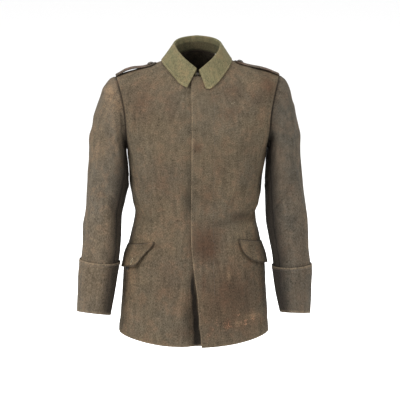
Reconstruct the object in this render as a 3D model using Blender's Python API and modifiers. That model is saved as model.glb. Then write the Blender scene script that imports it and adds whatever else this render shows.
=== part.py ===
"""A wool field tunic as it is worn: hollow, with every cut piece as a thin wall of cloth.

Metres, Z up. X runs to the wearer's left, the front faces -Y, and the origin is at the base of the
neck, between the two shoulder seams, where the wearer's shoulders carry the tunic.

The body is one smooth surface of rings, read at an angle (0 at centre front, a quarter turn at the
wearer's left side) and a level (metres up the side seam from the hem). Each panel is a stretch of that
surface between its own seams. A sleeve is a surface of rings of its own, which starts on the armhole.
"""
import math

import bpy
import numpy as np
from mathutils import Matrix

# Cloth and seams
CLOTH = 0.0022
SEAM_GAP = 0.0004
LAYER_GAP = 0.0010
NORMAL_STEP = 0.0025

# Levels of the body, measured up the side seam from the hem
ARMPIT_LEVEL = 0.48
SHOULDER_LEVEL = 0.66
NECK_LEVEL = 0.80
SKIRT_ROWS = 12
ARMHOLE_ROWS = 12
SHOULDER_ROWS = 6
SHOULDER_CROWDING = 1.5
FRONT_COLUMNS = 11
BACK_COLUMNS = 18

# The body's rings: height at the side, centre front and centre back, half width, depth to the front
# and to the back, squareness of the ring, how late the edge rises to the side, and sideways lean
BODY_RINGS = {
    "level":      (0.00, 0.10, 0.20, 0.25, 0.30, 0.35, 0.40, 0.48, 0.57, 0.66, 0.74, 0.80),
    "side":       (-0.708, -0.610, -0.510, -0.460, -0.410, -0.360, -0.312, -0.235, -0.145, -0.062,
                   -0.024, 0.000),
    "front":      (-0.727, -0.625, -0.522, -0.468, -0.415, -0.366, -0.322, -0.252, -0.190, -0.128,
                   -0.080, -0.032),
    "back":       (-0.722, -0.618, -0.514, -0.462, -0.411, -0.360, -0.312, -0.236, -0.158, -0.085,
                   -0.026, 0.015),
    "half_width": (0.194, 0.187, 0.180, 0.1665, 0.157, 0.1625, 0.169, 0.179, 0.197, 0.190,
                   0.133, 0.070),
    "to_front":   (0.131, 0.127, 0.119, 0.111, 0.106, 0.110, 0.118, 0.128, 0.130, 0.120,
                   0.100, 0.078),
    "to_back":    (0.130, 0.122, 0.108, 0.095, 0.087, 0.091, 0.100, 0.113, 0.118, 0.109,
                   0.087, 0.060),
    "squareness": (2.2, 2.2, 2.2, 2.2, 2.2, 2.2, 2.25, 2.3, 2.3, 2.2, 2.1, 2.0),
    "rise":       (4.0, 4.0, 4.0, 4.0, 4.0, 4.0, 4.0, 4.0, 4.3, 4.2, 3.2, 2.0),
    "lean":       (-0.010, -0.009, -0.008, -0.007, -0.006, -0.005, -0.004, -0.002, -0.001, 0.000,
                   0.000, 0.000),
}

# The line up the very side, which turns sharply inward at the shoulder's tip
SIDE_LINE = {
    "level":      (0.00, 0.10, 0.20, 0.25, 0.30, 0.35, 0.40, 0.48, 0.57, 0.64, 0.66, 0.68, 0.74, 0.80),
    "height":     (-0.708, -0.610, -0.510, -0.460, -0.410, -0.360, -0.312, -0.235, -0.145, -0.0640,
                   -0.0445, -0.0375, -0.0210, 0.0000),
    "half_width": (0.194, 0.187, 0.180, 0.1665, 0.157, 0.1625, 0.169, 0.179, 0.201, 0.2110,
                   0.2095, 0.1945, 0.138, 0.070),
}
SIDE_LINE_POWER = 10

# Seams on the body, in degrees from centre front
SIDE_SEAM = {
    "level": (0.00, 0.12, 0.30, 0.48),
    "angle": (86.0, 90.0, 94.0, 90.0),
}
ARMHOLE_INTO_FRONT = 17.0
ARMHOLE_INTO_BACK = 19.0

# Front edges: the wearer's left front laps over the right one
FLY_EDGE = {
    "level": (0.00, 0.06, 0.12, 0.17, 0.22, 0.26, 0.32, 0.80),
    "x":     (0.004, -0.001, -0.005, -0.012, -0.018, -0.021, -0.0215, -0.0195),
}
UNDER_EDGE_X = 0.024
UNDER_INSET_START_X = -0.044
UNDER_INSET_END_X = -0.024
UNDER_TUCK = 0.012
UNDER_TUCK_START_X = -0.034
UNDER_TUCK_END_X = -0.006
FLY_STAND_OFF = 0.012
FLY_STAND_OFF_TOP = 0.24
FLY_STAND_OFF_X = 0.070
FLY_EDGE_LAST_X = 0.010

# Largest folds of the body: place, slant from upright in degrees, half length, half width and rise
BODY_FOLDS = {
    "angle":  (72, 66, -76, 58, -58, 150, -148, 180, 166, -158, 138, -140, 104, -104, 30, -36, -70, 60),
    "level":  (0.31, 0.345, 0.31, 0.46, 0.45, 0.07, 0.08, 0.06, 0.31, 0.335, 0.50, 0.49, 0.09, 0.08,
               0.09, 0.10, 0.37, 0.28),
    "slant":  (80, 62, -78, 24, -22, 4, -5, 0, 84, -80, 18, -16, 6, -5, 3, -2, -60, 55),
    "length": (0.070, 0.080, 0.060, 0.090, 0.095, 0.150, 0.160, 0.150, 0.100, 0.090, 0.110, 0.120,
               0.130, 0.130, 0.120, 0.130, 0.070, 0.080),
    "width":  (0.014, 0.020, 0.016, 0.022, 0.021, 0.032, 0.034, 0.030, 0.015, 0.014, 0.030, 0.028,
               0.026, 0.028, 0.034, 0.036, 0.020, 0.022),
    "rise":   (-0.0050, 0.0040, -0.0040, 0.0050, 0.0045, 0.0060, 0.0055, -0.0045, -0.0045, -0.0040,
               0.0045, 0.0040, -0.0050, -0.0045, 0.0035, 0.0030, 0.0035, 0.0030),
}
FOLD_RADIUS = 0.15

# Sleeves: outer and inner line seen from the front, half depth and how far the ring hangs forward
SLEEVE_RINGS = {
    "right": {
        "along":  (0.00, 0.02, 0.05, 0.08, 0.14, 0.22, 0.32, 0.42, 0.52, 0.62, 0.72, 0.80, 0.88, 0.94, 1.00),
        "out_x":  (0.2095, 0.2165, 0.2250, 0.2320, 0.2440, 0.2550, 0.2650, 0.2740, 0.2800, 0.2850,
                   0.2925, 0.2985, 0.3050, 0.3080, 0.3096),
        "out_z":  (-0.0440, -0.0462, -0.0515, -0.0590, -0.0790, -0.1100, -0.1500, -0.1950, -0.2500,
                   -0.3200, -0.4100, -0.4850, -0.5500, -0.6020, -0.6480),
        "in_x":   (0.1780, 0.1795, 0.1825, 0.1810, 0.1775, 0.1765, 0.1775, 0.1820, 0.1885, 0.1955,
                   0.1975, 0.2015, 0.2100, 0.2185, 0.2290),
        "in_z":   (-0.2350, -0.2290, -0.2295, -0.2390, -0.2620, -0.2880, -0.3190, -0.3450, -0.3720,
                   -0.4050, -0.4550, -0.5000, -0.5480, -0.6020, -0.6580),
    },
    "left": {
        "along":  (0.00, 0.02, 0.05, 0.08, 0.14, 0.22, 0.32, 0.42, 0.52, 0.62, 0.72, 0.80, 0.88, 0.94, 1.00),
        "out_x":  (0.2095, 0.2160, 0.2240, 0.2295, 0.2380, 0.2460, 0.2540, 0.2600, 0.2650, 0.2720,
                   0.2805, 0.2860, 0.2900, 0.2890, 0.2860),
        "out_z":  (-0.0440, -0.0462, -0.0520, -0.0600, -0.0800, -0.1120, -0.1520, -0.1970, -0.2500,
                   -0.3200, -0.4100, -0.4850, -0.5500, -0.6020, -0.6580),
        "in_x":   (0.1780, 0.1795, 0.1825, 0.1810, 0.1775, 0.1750, 0.1735, 0.1740, 0.1745, 0.1755,
                   0.1825, 0.1905, 0.1960, 0.2030, 0.2140),
        "in_z":   (-0.2350, -0.2290, -0.2295, -0.2390, -0.2620, -0.2880, -0.3190, -0.3480, -0.3800,
                   -0.4150, -0.4600, -0.5020, -0.5500, -0.6020, -0.6540),
    },
}
SLEEVE_DEPTH = {
    "along":   (0.00, 0.08, 0.22, 0.32, 0.52, 0.72, 0.88, 1.00),
    "half":    (0.0560, 0.0630, 0.0700, 0.0720, 0.0690, 0.0630, 0.0570, 0.0530),
    "forward": (0.000, 0.000, 0.001, 0.003, 0.010, 0.024, 0.038, 0.046),
}
ARMHOLE_SHAPE_ENDS = 0.34
SLEEVE_END_TILT = 0.0095
SLEEVE_TILT_START = 0.80
SLEEVE_COLUMNS = 24
SLEEVE_ALONG = (0.0, 0.02, 0.05, 0.08, 0.13, 0.19, 0.26, 0.33, 0.40, 0.47, 0.54, 0.61, 0.68, 0.75,
                0.82, 0.88, 0.94, 1.0)
HIND_SEAM_COLUMN = -5
FORE_SEAM_COLUMN = 9
SLEEVE_SEAM_TURN = math.radians(0.65)

# Largest folds of a sleeve: place around in degrees (0 outside, 90 front) and along, slant, half
# length, half width, rise
SLEEVE_FOLDS = {
    "around": (100, 70, 150, 110, -100, -80, 20, -10, 90, -120),
    "along":  (0.60, 0.66, 0.30, 0.76, 0.58, 0.67, 0.45, 0.74, 0.20, 0.30),
    "slant":  (72, 64, 40, 75, -70, -60, 50, -66, 20, -22),
    "length": (0.055, 0.060, 0.060, 0.050, 0.055, 0.050, 0.050, 0.050, 0.060, 0.060),
    "width":  (0.014, 0.016, 0.015, 0.014, 0.015, 0.016, 0.018, 0.016, 0.018, 0.018),
    "rise":   (-0.0045, 0.0035, 0.0035, 0.0030, -0.0040, 0.0030, 0.0025, 0.0025, 0.0030, 0.0030),
}
SLEEVE_LENGTH = 0.60
SLEEVE_RADIUS = 0.058

# Turned-back cuffs
CUFF_START = {"right": 0.832, "left": 0.853}
CUFF_ROWS = 5
CUFF_STAND_OFF = 0.0010

# Fall collar: fold line by angle round the neck, and the leaf's free edge on the body
COLLAR_FOLD = {
    "angle": (0, 22, 45, 70, 90, 135, 180),
    "reach": (0.0785, 0.0765, 0.0700, 0.0620, 0.0600, 0.0570, 0.0540),
    "z":     (-0.0165, 0.0060, 0.0250, 0.0365, 0.0410, 0.0500, 0.0540),
}
COLLAR_END = 2.2
COLLAR_CENTRE_TURN = -2.0
COLLAR_COLUMNS = 36
COLLAR_CROWDING = 0.45
COLLAR_BASE_GAP = 0.0006
COLLAR_FOLD_RADIUS = 0.0032
COLLAR_STAND_ROWS = 2
COLLAR_FOLD_ROWS = 3
COLLAR_FALL_ROWS = 4
LEAF_END_ANGLE = {"right": 18.5, "left": 10.5}
LEAF_LEVEL = {
    "angle": (0, 10, 15, 27, 40, 54, 90, 180),
    "right": (0.7620, 0.7620, 0.7620, 0.7645, 0.7725, 0.7775, 0.7810, 0.7850),
    "left":  (0.7630, 0.7610, 0.7585, 0.7660, 0.7745, 0.7800, 0.7850, 0.7860),
}
LEAF_STAND_OFF = 0.0050

# Pocket flaps: the seam along the top and the depth of the free edge below it
FLAP_COLUMNS = 14
FLAP_ROWS = 4
FLAP = {
    "right": {
        "front_angle": 50.0, "rear_angle": 86.0, "front_level": 0.256, "rear_level": 0.232,
        "share": (0.0, 0.05, 0.15, 0.24, 0.33, 0.38, 0.60, 1.0),
        "depth": (0.004, 0.014, 0.026, 0.037, 0.051, 0.058, 0.059, 0.060),
    },
    "left": {
        "front_angle": 50.0, "rear_angle": 86.0, "front_level": 0.262, "rear_level": 0.238,
        "share": (0.0, 0.05, 0.11, 0.17, 0.30, 0.46, 0.60, 1.0),
        "depth": (0.006, 0.022, 0.038, 0.045, 0.053, 0.057, 0.058, 0.060),
    },
}
FLAP_STAND_OFF = 0.0095
FLAP_STAND_OFF_POWER = 1.4
FLAP_REAR_SETTLE = 0.5
FLAP_REAR_START = 0.6

# Shoulder straps and buttons
STRAP_HALF_WIDTH = 0.017
STRAP_THICKNESS = 0.0028
STRAP_LIFT = 0.0006
STRAP_INNER_LEVEL = {"right": 0.770, "left": 0.779}
STRAP_ARCH = {"right": 0.0055, "left": 0.0025}
STRAP_ARCH_RISE = (0.0, 0.35)
STRAP_ARCH_FALL = (0.45, 0.80)
STRAP_OUTER_LEVEL = 0.6615
STRAP_ROUND_SHARE = 0.13
STRAP_END_FULLEST = 0.97
STRAP_END_SHARES = (0.905, 0.94, 0.97, 0.99, 1.0)
STRAP_SLOPE_LEVELS = (0.70, 0.76)
STRAP_CROWN = 4.0
STRAP_ALONG = 12
STRAP_ACROSS = 4
BUTTON_RADIUS = 0.0078
BUTTON_HEIGHT = 0.0052
BUTTON_SEAT_GAP = 0.0005
BUTTON_STEPS = 16
BUTTON_DOME_POINTS = 5
BUTTON_RIM_SHARE = 0.35
BUTTON_SEAT_SHARE = 0.92
BUTTON_MERGE = 0.00005
STRAP_BUTTON_LEVEL = {"right": 0.757, "left": 0.767}
POCKET_BUTTON = {
    "right": {"angle": 76.0, "level": 0.178, "settle": 0.0010},
    "left":  {"angle": 68.0, "level": 0.202, "settle": 0.0002},
}


def clear_scene():
    """Takes away whatever the scene holds."""
    for thing in list(bpy.data.objects):
        bpy.data.objects.remove(thing, do_unlink=True)


def make_collection(name):
    """A collection of its own, linked to the scene."""
    group = bpy.data.collections.new(name)
    bpy.context.scene.collection.children.link(group)
    return group


def make_material(name, colour, roughness, metallic):
    """A plain finish for one piece."""
    material = bpy.data.materials.new(name)
    material.use_nodes = True
    shader = material.node_tree.nodes["Principled BSDF"]
    shader.inputs["Base Color"].default_value = (*colour, 1.0)
    shader.inputs["Roughness"].default_value = roughness
    shader.inputs["Metallic"].default_value = metallic
    return material


def smooth_step(value, start, end):
    """0 before start, 1 after end, and an even S curve between."""
    share = np.clip((value - start) / (end - start), 0.0, 1.0)
    return share * share * (3.0 - 2.0 * share)


def eased_curve(where, stops, values):
    """A smooth curve through the values that never swings past them: cubics with limited slopes."""
    stops = np.asarray(stops, dtype=float)
    values = np.asarray(values, dtype=float)
    step = np.diff(stops)
    slope = np.diff(values) / step
    before = slope[:-1]
    after = slope[1:]
    same_way = before * after > 0.0
    weight_before = 2.0 * step[1:] + step[:-1]
    weight_after = step[1:] + 2.0 * step[:-1]
    shared = weight_before / np.where(same_way, before, 1.0) + weight_after / np.where(same_way, after, 1.0)
    tangent = np.empty_like(values)
    tangent[0] = slope[0]
    tangent[-1] = slope[-1]
    tangent[1:-1] = np.where(same_way, (weight_before + weight_after) / shared, 0.0)
    where = np.asarray(where, dtype=float)
    piece = np.clip(np.searchsorted(stops, where, side="right") - 1, 0, len(step) - 1)
    share = (where - stops[piece]) / step[piece]
    square = share * share
    cube = square * share
    return ((2.0 * cube - 3.0 * square + 1.0) * values[piece]
            + (cube - 2.0 * square + share) * step[piece] * tangent[piece]
            + (3.0 * square - 2.0 * cube) * values[piece + 1]
            + (cube - square) * step[piece] * tangent[piece + 1])


def body_column(name, level):
    """One column of the body's rings at any level."""
    return eased_curve(level, BODY_RINGS["level"], BODY_RINGS[name])


def fold_height(across, along, folds, places_across, places_along):
    """Sum of soft ridges and troughs: a bell across each fold, fading towards its ends."""
    height = np.zeros_like(across)
    rows = zip(places_across, places_along, folds["slant"], folds["length"], folds["width"], folds["rise"])
    for place_across, place_along, slant, length, width, rise in rows:
        turn = math.radians(slant)
        offset_across = across - place_across
        offset_along = along - place_along
        beside = offset_across * math.cos(turn) - offset_along * math.sin(turn)
        lengthwise = offset_across * math.sin(turn) + offset_along * math.cos(turn)
        height = height + rise * np.exp(-(beside / width) ** 2 - (lengthwise / length) ** 4)
    return height


def wrapped(angle):
    """The same direction, between minus and plus half a turn."""
    return (angle + math.pi) % (2.0 * math.pi) - math.pi


def body_fold_height(angle, level):
    """Folds of the body, with the few that lie near centre back counted from both sides."""
    places_along = np.asarray(BODY_FOLDS["level"])
    total = np.zeros_like(angle)
    for turn in (-1, 0, 1):
        places_across = FOLD_RADIUS * (np.radians(BODY_FOLDS["angle"]) + 2.0 * math.pi * turn)
        total = total + fold_height(FOLD_RADIUS * angle, level, BODY_FOLDS, places_across, places_along)
    return total


def body_point(angle, level):
    """A point of the body's outer surface: a squared ellipse, deeper in front than behind, whose
    edge climbs to the sides, moved in and out by the folds. Only its sides reach the shoulder's tip."""
    angle = wrapped(np.asarray(angle, dtype=float))
    level = np.asarray(level, dtype=float) + np.zeros_like(angle)
    sideways = np.abs(np.sin(angle))
    forward = np.cos(angle)
    depth = np.where(forward > 0.0, body_column("to_front", level), body_column("to_back", level))
    power = body_column("squareness", level)
    near_side = sideways ** SIDE_LINE_POWER
    width = body_column("half_width", level)
    width = width + (eased_curve(level, SIDE_LINE["level"], SIDE_LINE["half_width"]) - width) * near_side
    reach = ((sideways / width) ** power + (np.abs(forward) / depth) ** power) ** (-1.0 / power)
    reach = reach + body_fold_height(angle, level)
    side_height = body_column("side", level)
    side_line = eased_curve(level, SIDE_LINE["level"], SIDE_LINE["height"])
    side_height = side_height + (side_line - side_height) * near_side
    end_height = np.where(forward > 0.0, body_column("front", level), body_column("back", level))
    drop = 1.0 - sideways ** body_column("rise", level)
    height = side_height + (end_height - side_height) * drop
    return np.stack([body_column("lean", level) + reach * np.sin(angle),
                     -reach * forward,
                     height + np.zeros_like(reach)], axis=-1)


def unit(vectors):
    """Vectors of length one."""
    return vectors / np.linalg.norm(vectors, axis=-1, keepdims=True)


def body_normal(angle, level):
    """The outward direction of the body's surface, from small steps round and up."""
    turn = NORMAL_STEP / FOLD_RADIUS
    around = body_point(angle + turn, level) - body_point(angle - turn, level)
    upward = body_point(angle, level + NORMAL_STEP) - body_point(angle, level - NORMAL_STEP)
    return unit(np.cross(around, upward))


def body_levels():
    """Rows of the body's panels: even on the skirt, round the armhole by equal turns, and above it
    closer together near the shoulder's tip."""
    skirt = np.linspace(0.0, ARMPIT_LEVEL, SKIRT_ROWS, endpoint=False)
    turn = np.linspace(0.0, math.pi, ARMHOLE_ROWS + 1)
    armhole = ARMPIT_LEVEL + (SHOULDER_LEVEL - ARMPIT_LEVEL) * (1.0 - np.cos(turn)) / 2.0
    share = np.linspace(0.0, 1.0, SHOULDER_ROWS + 1)[1:] ** SHOULDER_CROWDING
    shoulder = SHOULDER_LEVEL + (NECK_LEVEL - SHOULDER_LEVEL) * share
    return np.concatenate([skirt, armhole, shoulder])


def seam_angle(level, into_panel):
    """The side edge of a panel: side seam, then the armhole's curve, then the shoulder seam."""
    side = eased_curve(np.minimum(level, ARMPIT_LEVEL), SIDE_SEAM["level"], SIDE_SEAM["angle"])
    share = np.clip((level - ARMPIT_LEVEL) / (SHOULDER_LEVEL - ARMPIT_LEVEL), 0.0, 1.0)
    hollow = 2.0 * np.sqrt(share * (1.0 - share))
    return np.radians(np.where(level < ARMPIT_LEVEL, side, 90.0 + into_panel * hollow))


def half_gap_turn(level):
    """Half of the seam's gap, as a turn round the body."""
    return 0.5 * SEAM_GAP / np.minimum(body_column("half_width", level), FOLD_RADIUS)


def wall(name, outer, inner, material, group, closed=False):
    """A closed body between an outer and an inner grid of points, with rims round the open edges."""
    across = outer[:-1, 1:] - outer[:-1, :-1]
    along = outer[1:, :-1] - outer[:-1, :-1]
    facing = np.sum(np.cross(across, along) * (outer - inner)[:-1, :-1])
    if facing < 0.0:
        outer = outer[:, ::-1]
        inner = inner[:, ::-1]
    rows, columns = outer.shape[:2]
    points = np.concatenate([outer.reshape(-1, 3), inner.reshape(-1, 3)])
    out = np.arange(rows * columns).reshape(rows, columns)
    if closed:
        out = np.concatenate([out, out[:, :1]], axis=1)
    within = out + rows * columns
    placed = points[out]
    falling = np.linalg.norm(placed[1:, 1:] - placed[:-1, :-1], axis=-1)
    rising = np.linalg.norm(placed[1:, :-1] - placed[:-1, 1:], axis=-1)
    turned = (rising < falling).ravel()
    faces = [
        split_quads(out[:-1, :-1], out[:-1, 1:], out[1:, 1:], out[1:, :-1], turned),
        split_quads(within[:-1, :-1], within[1:, :-1], within[1:, 1:], within[:-1, 1:], turned),
        split_quads(out[0, 1:], out[0, :-1], within[0, :-1], within[0, 1:]),
        split_quads(out[-1, 1:], within[-1, 1:], within[-1, :-1], out[-1, :-1]),
    ]
    if not closed:
        faces.append(split_quads(out[1:, -1], out[:-1, -1], within[:-1, -1], within[1:, -1]))
        faces.append(split_quads(out[1:, 0], within[1:, 0], within[:-1, 0], out[:-1, 0]))
    mesh = bpy.data.meshes.new(name)
    mesh.from_pydata(points.tolist(), [], np.concatenate(faces).tolist())
    mesh.validate()
    mesh.materials.append(material)
    mesh.shade_smooth()
    mesh.set_sharp_from_angle(angle=math.radians(50.0))
    piece = bpy.data.objects.new(name, mesh)
    group.objects.link(piece)
    return piece


def split_quads(first, second, third, fourth, turned=False):
    """Two triangles for each four corners, cut from the first to the third, or where turned from the
    second to the fourth, so that both faces of a wall are split the same way."""
    corners = [corner.ravel() for corner in (first, second, third, fourth)]
    a, b, c, d = (np.where(turned, corners[(place + 1) % 4], corners[place]) for place in range(4))
    return np.concatenate([np.stack([a, b, c], axis=-1), np.stack([a, c, d], axis=-1)])


def body_grid(first_angle, last_angle, columns):
    """Angles and levels of a panel, from its first edge to its last, a row for each level."""
    levels = body_levels()
    share = np.linspace(0.0, 1.0, columns + 1)
    angle = first_angle[:, None] + (last_angle - first_angle)[:, None] * share[None, :]
    level = np.repeat(levels[:, None], columns + 1, axis=1)
    return angle, level


def edge_turn(edge_x, level):
    """The angle at which the front's surface stands a given distance from its middle line."""
    return np.arctan2(edge_x - body_column("lean", level), body_column("to_front", level))


def left_front_lift(points, level):
    """How far the wearer's left front stands off: towards its free edge, low on the skirt."""
    near_edge = smooth_step(-points[..., 0], -FLY_STAND_OFF_X, FLY_EDGE_LAST_X)
    near_hem = smooth_step(-level, -FLY_STAND_OFF_TOP, 0.0)
    return FLY_STAND_OFF * near_edge * near_hem


def right_front_inset(points, level):
    """How far the wearer's right front lies inside, where it passes under the other front; low on the
    skirt its free edge falls in further."""
    inset = (CLOTH + LAYER_GAP) * smooth_step(points[..., 0], UNDER_INSET_START_X, UNDER_INSET_END_X)
    near_hem = smooth_step(-level, -FLY_STAND_OFF_TOP, 0.0)
    return inset + UNDER_TUCK * near_hem * smooth_step(points[..., 0], UNDER_TUCK_START_X, UNDER_TUCK_END_X)


def make_fronts(material, group):
    """The two fronts, from side seam, armhole and shoulder seam to their front edges."""
    levels = body_levels()
    outer_edge = seam_angle(levels, -ARMHOLE_INTO_FRONT) - half_gap_turn(levels)
    fly_x = eased_curve(levels, FLY_EDGE["level"], FLY_EDGE["x"])
    angle, level = body_grid(edge_turn(fly_x, levels), outer_edge, FRONT_COLUMNS)
    points = body_point(angle, level)
    normals = body_normal(angle, level)
    outer = points + left_front_lift(points, level)[..., None] * normals
    wall("front_left", outer, outer - CLOTH * normals, material, group)
    angle, level = body_grid(-outer_edge, edge_turn(UNDER_EDGE_X, levels), FRONT_COLUMNS)
    points = body_point(angle, level)
    normals = body_normal(angle, level)
    outer = points - right_front_inset(points, level)[..., None] * normals
    wall("front_right", outer, outer - CLOTH * normals, material, group)


def make_back(material, group):
    """The whole back, from one side seam, armhole and shoulder seam to the other."""
    levels = body_levels()
    edge = seam_angle(levels, ARMHOLE_INTO_BACK) + half_gap_turn(levels)
    angle, level = body_grid(edge, 2.0 * math.pi - edge, BACK_COLUMNS)
    outer = body_point(angle, level)
    wall("back", outer, outer - CLOTH * body_normal(angle, level), material, group)


def armhole_place(around, gap):
    """Angle and level of the sleeve's edge round the armhole, a gap inside the panels' own edge."""
    level = ARMPIT_LEVEL + (SHOULDER_LEVEL - ARMPIT_LEVEL) * (1.0 + np.cos(around)) / 2.0
    inward = np.where(np.sin(around) > 0.0, -ARMHOLE_INTO_FRONT, ARMHOLE_INTO_BACK)
    angle = np.radians(90.0 + inward * np.abs(np.sin(around)))
    angle = angle + gap * np.sin(around) / FOLD_RADIUS
    return angle, level - gap * np.cos(around)


def mirrored(points, side):
    """Points made for the wearer's left side, moved to the other side where that is asked for."""
    flip = np.array([1.0 if side == "left" else -1.0, 1.0, 1.0])
    return points * flip


def side_angle(angle, side):
    """An angle given for the wearer's left side, on the side that is asked for."""
    return angle if side == "left" else -angle


def sleeve_point(around, along, side):
    """A point of a sleeve: an ellipse between its outer and inner line, which takes the armhole's
    true shape at its start, moved in and out by the folds."""
    rings = SLEEVE_RINGS[side]
    stops = rings["along"]
    outer = np.stack([eased_curve(along, stops, rings["out_x"]), eased_curve(along, stops, rings["out_z"])])
    inner = np.stack([eased_curve(along, stops, rings["in_x"]), eased_curve(along, stops, rings["in_z"])])
    middle = (outer + inner) / 2.0
    half = (outer - inner) / 2.0
    depth = eased_curve(along, SLEEVE_DEPTH["along"], SLEEVE_DEPTH["half"])
    forward = eased_curve(along, SLEEVE_DEPTH["along"], SLEEVE_DEPTH["forward"])
    centre = np.stack([middle[0], -forward, middle[1]], axis=-1)
    tilt = SLEEVE_END_TILT * smooth_step(along, SLEEVE_TILT_START, 1.0) * np.sin(around)
    spoke = np.stack([half[0] * np.cos(around), -depth * np.sin(around), half[1] * np.cos(around) + tilt],
                     axis=-1)
    arc = SLEEVE_RADIUS * wrapped(around)
    folds = fold_height(arc, SLEEVE_LENGTH * along, SLEEVE_FOLDS,
                        SLEEVE_RADIUS * np.radians(SLEEVE_FOLDS["around"]),
                        SLEEVE_LENGTH * np.asarray(SLEEVE_FOLDS["along"]))
    plain = mirrored(centre + spoke + folds[..., None] * unit(spoke), side)
    from_armhole = 1.0 - smooth_step(along, 0.0, ARMHOLE_SHAPE_ENDS)
    return plain + armhole_correction(around, side) * from_armhole[..., None]


def armhole_correction(around, side):
    """What turns the sleeve's first plain ring into the armhole's own edge."""
    rings = SLEEVE_RINGS[side]
    top = np.array([rings["out_x"][0], 0.0, rings["out_z"][0]])
    bottom = np.array([rings["in_x"][0], 0.0, rings["in_z"][0]])
    spoke = (top - bottom) / 2.0 * np.cos(around)[..., None]
    depth = np.array([0.0, -SLEEVE_DEPTH["half"][0], 0.0]) * np.sin(around)[..., None]
    plain = mirrored((top + bottom) / 2.0 + spoke + depth, side)
    angle, level = armhole_place(around, SEAM_GAP)
    return body_point(side_angle(angle, side), level) - plain


def sleeve_normal(around, along, side):
    """The outward direction of a sleeve, which is the body's own at the armhole."""
    turn = NORMAL_STEP / SLEEVE_RADIUS
    step = NORMAL_STEP / SLEEVE_LENGTH
    first = np.maximum(along - step, 0.0)
    round_way = sleeve_point(around + turn, along, side) - sleeve_point(around - turn, along, side)
    long_way = sleeve_point(around, along + step, side) - sleeve_point(around, first, side)
    own = unit(np.cross(round_way, long_way)) * (1.0 if side == "left" else -1.0)
    angle, level = armhole_place(around, 0.0)
    at_armhole = body_normal(side_angle(angle, side), level)
    return np.where((along == 0.0)[..., None], at_armhole, own)


def sleeve_grid(first_column, last_column, along):
    """Places of a sleeve's piece between two of the sleeve's columns."""
    turn = 2.0 * math.pi / SLEEVE_COLUMNS
    columns = np.arange(first_column, last_column + 1) * turn
    columns[0] += SLEEVE_SEAM_TURN / 2.0
    columns[-1] -= SLEEVE_SEAM_TURN / 2.0
    return np.meshgrid(columns, np.asarray(along))


def make_sleeve(side, material, group):
    """The upper sleeve, outside and in front, and the under sleeve, next to the body."""
    pieces = (
        ("sleeve_upper_" + side, HIND_SEAM_COLUMN, FORE_SEAM_COLUMN),
        ("sleeve_under_" + side, FORE_SEAM_COLUMN, HIND_SEAM_COLUMN + SLEEVE_COLUMNS),
    )
    for name, first_column, last_column in pieces:
        around, along = sleeve_grid(first_column, last_column, SLEEVE_ALONG)
        outer = sleeve_point(around, along, side)
        wall(name, outer, outer - CLOTH * sleeve_normal(around, along, side), material, group)


def make_cuff(side, material, group):
    """The turned-back cuff: a ring of cloth round the end of the sleeve, a little loose at its top."""
    turns = np.arange(SLEEVE_COLUMNS) * 2.0 * math.pi / SLEEVE_COLUMNS
    around, along = np.meshgrid(turns, np.linspace(CUFF_START[side], 1.0, CUFF_ROWS))
    normals = sleeve_normal(around, along, side)
    loose = CUFF_STAND_OFF * (1.0 - smooth_step(along, CUFF_START[side], 1.0))
    inner = sleeve_point(around, along, side) + (LAYER_GAP + loose)[..., None] * normals
    wall("cuff_" + side, inner + CLOTH * normals, inner, material, group, closed=True)


def collar_angles():
    """Angles round the neck from the wearer's right front, behind, to the left front."""
    share = np.linspace(0.0, 1.0, COLLAR_COLUMNS + 1)
    crowded = share - COLLAR_CROWDING * np.sin(2.0 * math.pi * share) / (2.0 * math.pi)
    first = math.radians(COLLAR_CENTRE_TURN - COLLAR_END)
    last = math.radians(COLLAR_CENTRE_TURN + COLLAR_END) - 2.0 * math.pi
    return first + (last - first) * crowded


def leaf_edge(angles):
    """The free edge of the collar, lying on the body a little way off its surface."""
    share = np.linspace(0.0, 1.0, COLLAR_COLUMNS + 1)
    crowded = share - COLLAR_CROWDING * np.sin(2.0 * math.pi * share) / (2.0 * math.pi)
    first = -math.radians(LEAF_END_ANGLE["right"])
    last = math.radians(LEAF_END_ANGLE["left"]) - 2.0 * math.pi
    angle = first + (last - first) * crowded
    turned = np.degrees(np.abs(wrapped(angle)))
    right = eased_curve(turned, LEAF_LEVEL["angle"], LEAF_LEVEL["right"])
    left = eased_curve(turned, LEAF_LEVEL["angle"], LEAF_LEVEL["left"])
    level = np.where(wrapped(angle) < 0.0, right, left)
    return body_point(angle, level) + LEAF_STAND_OFF * body_normal(angle, level)


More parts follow.
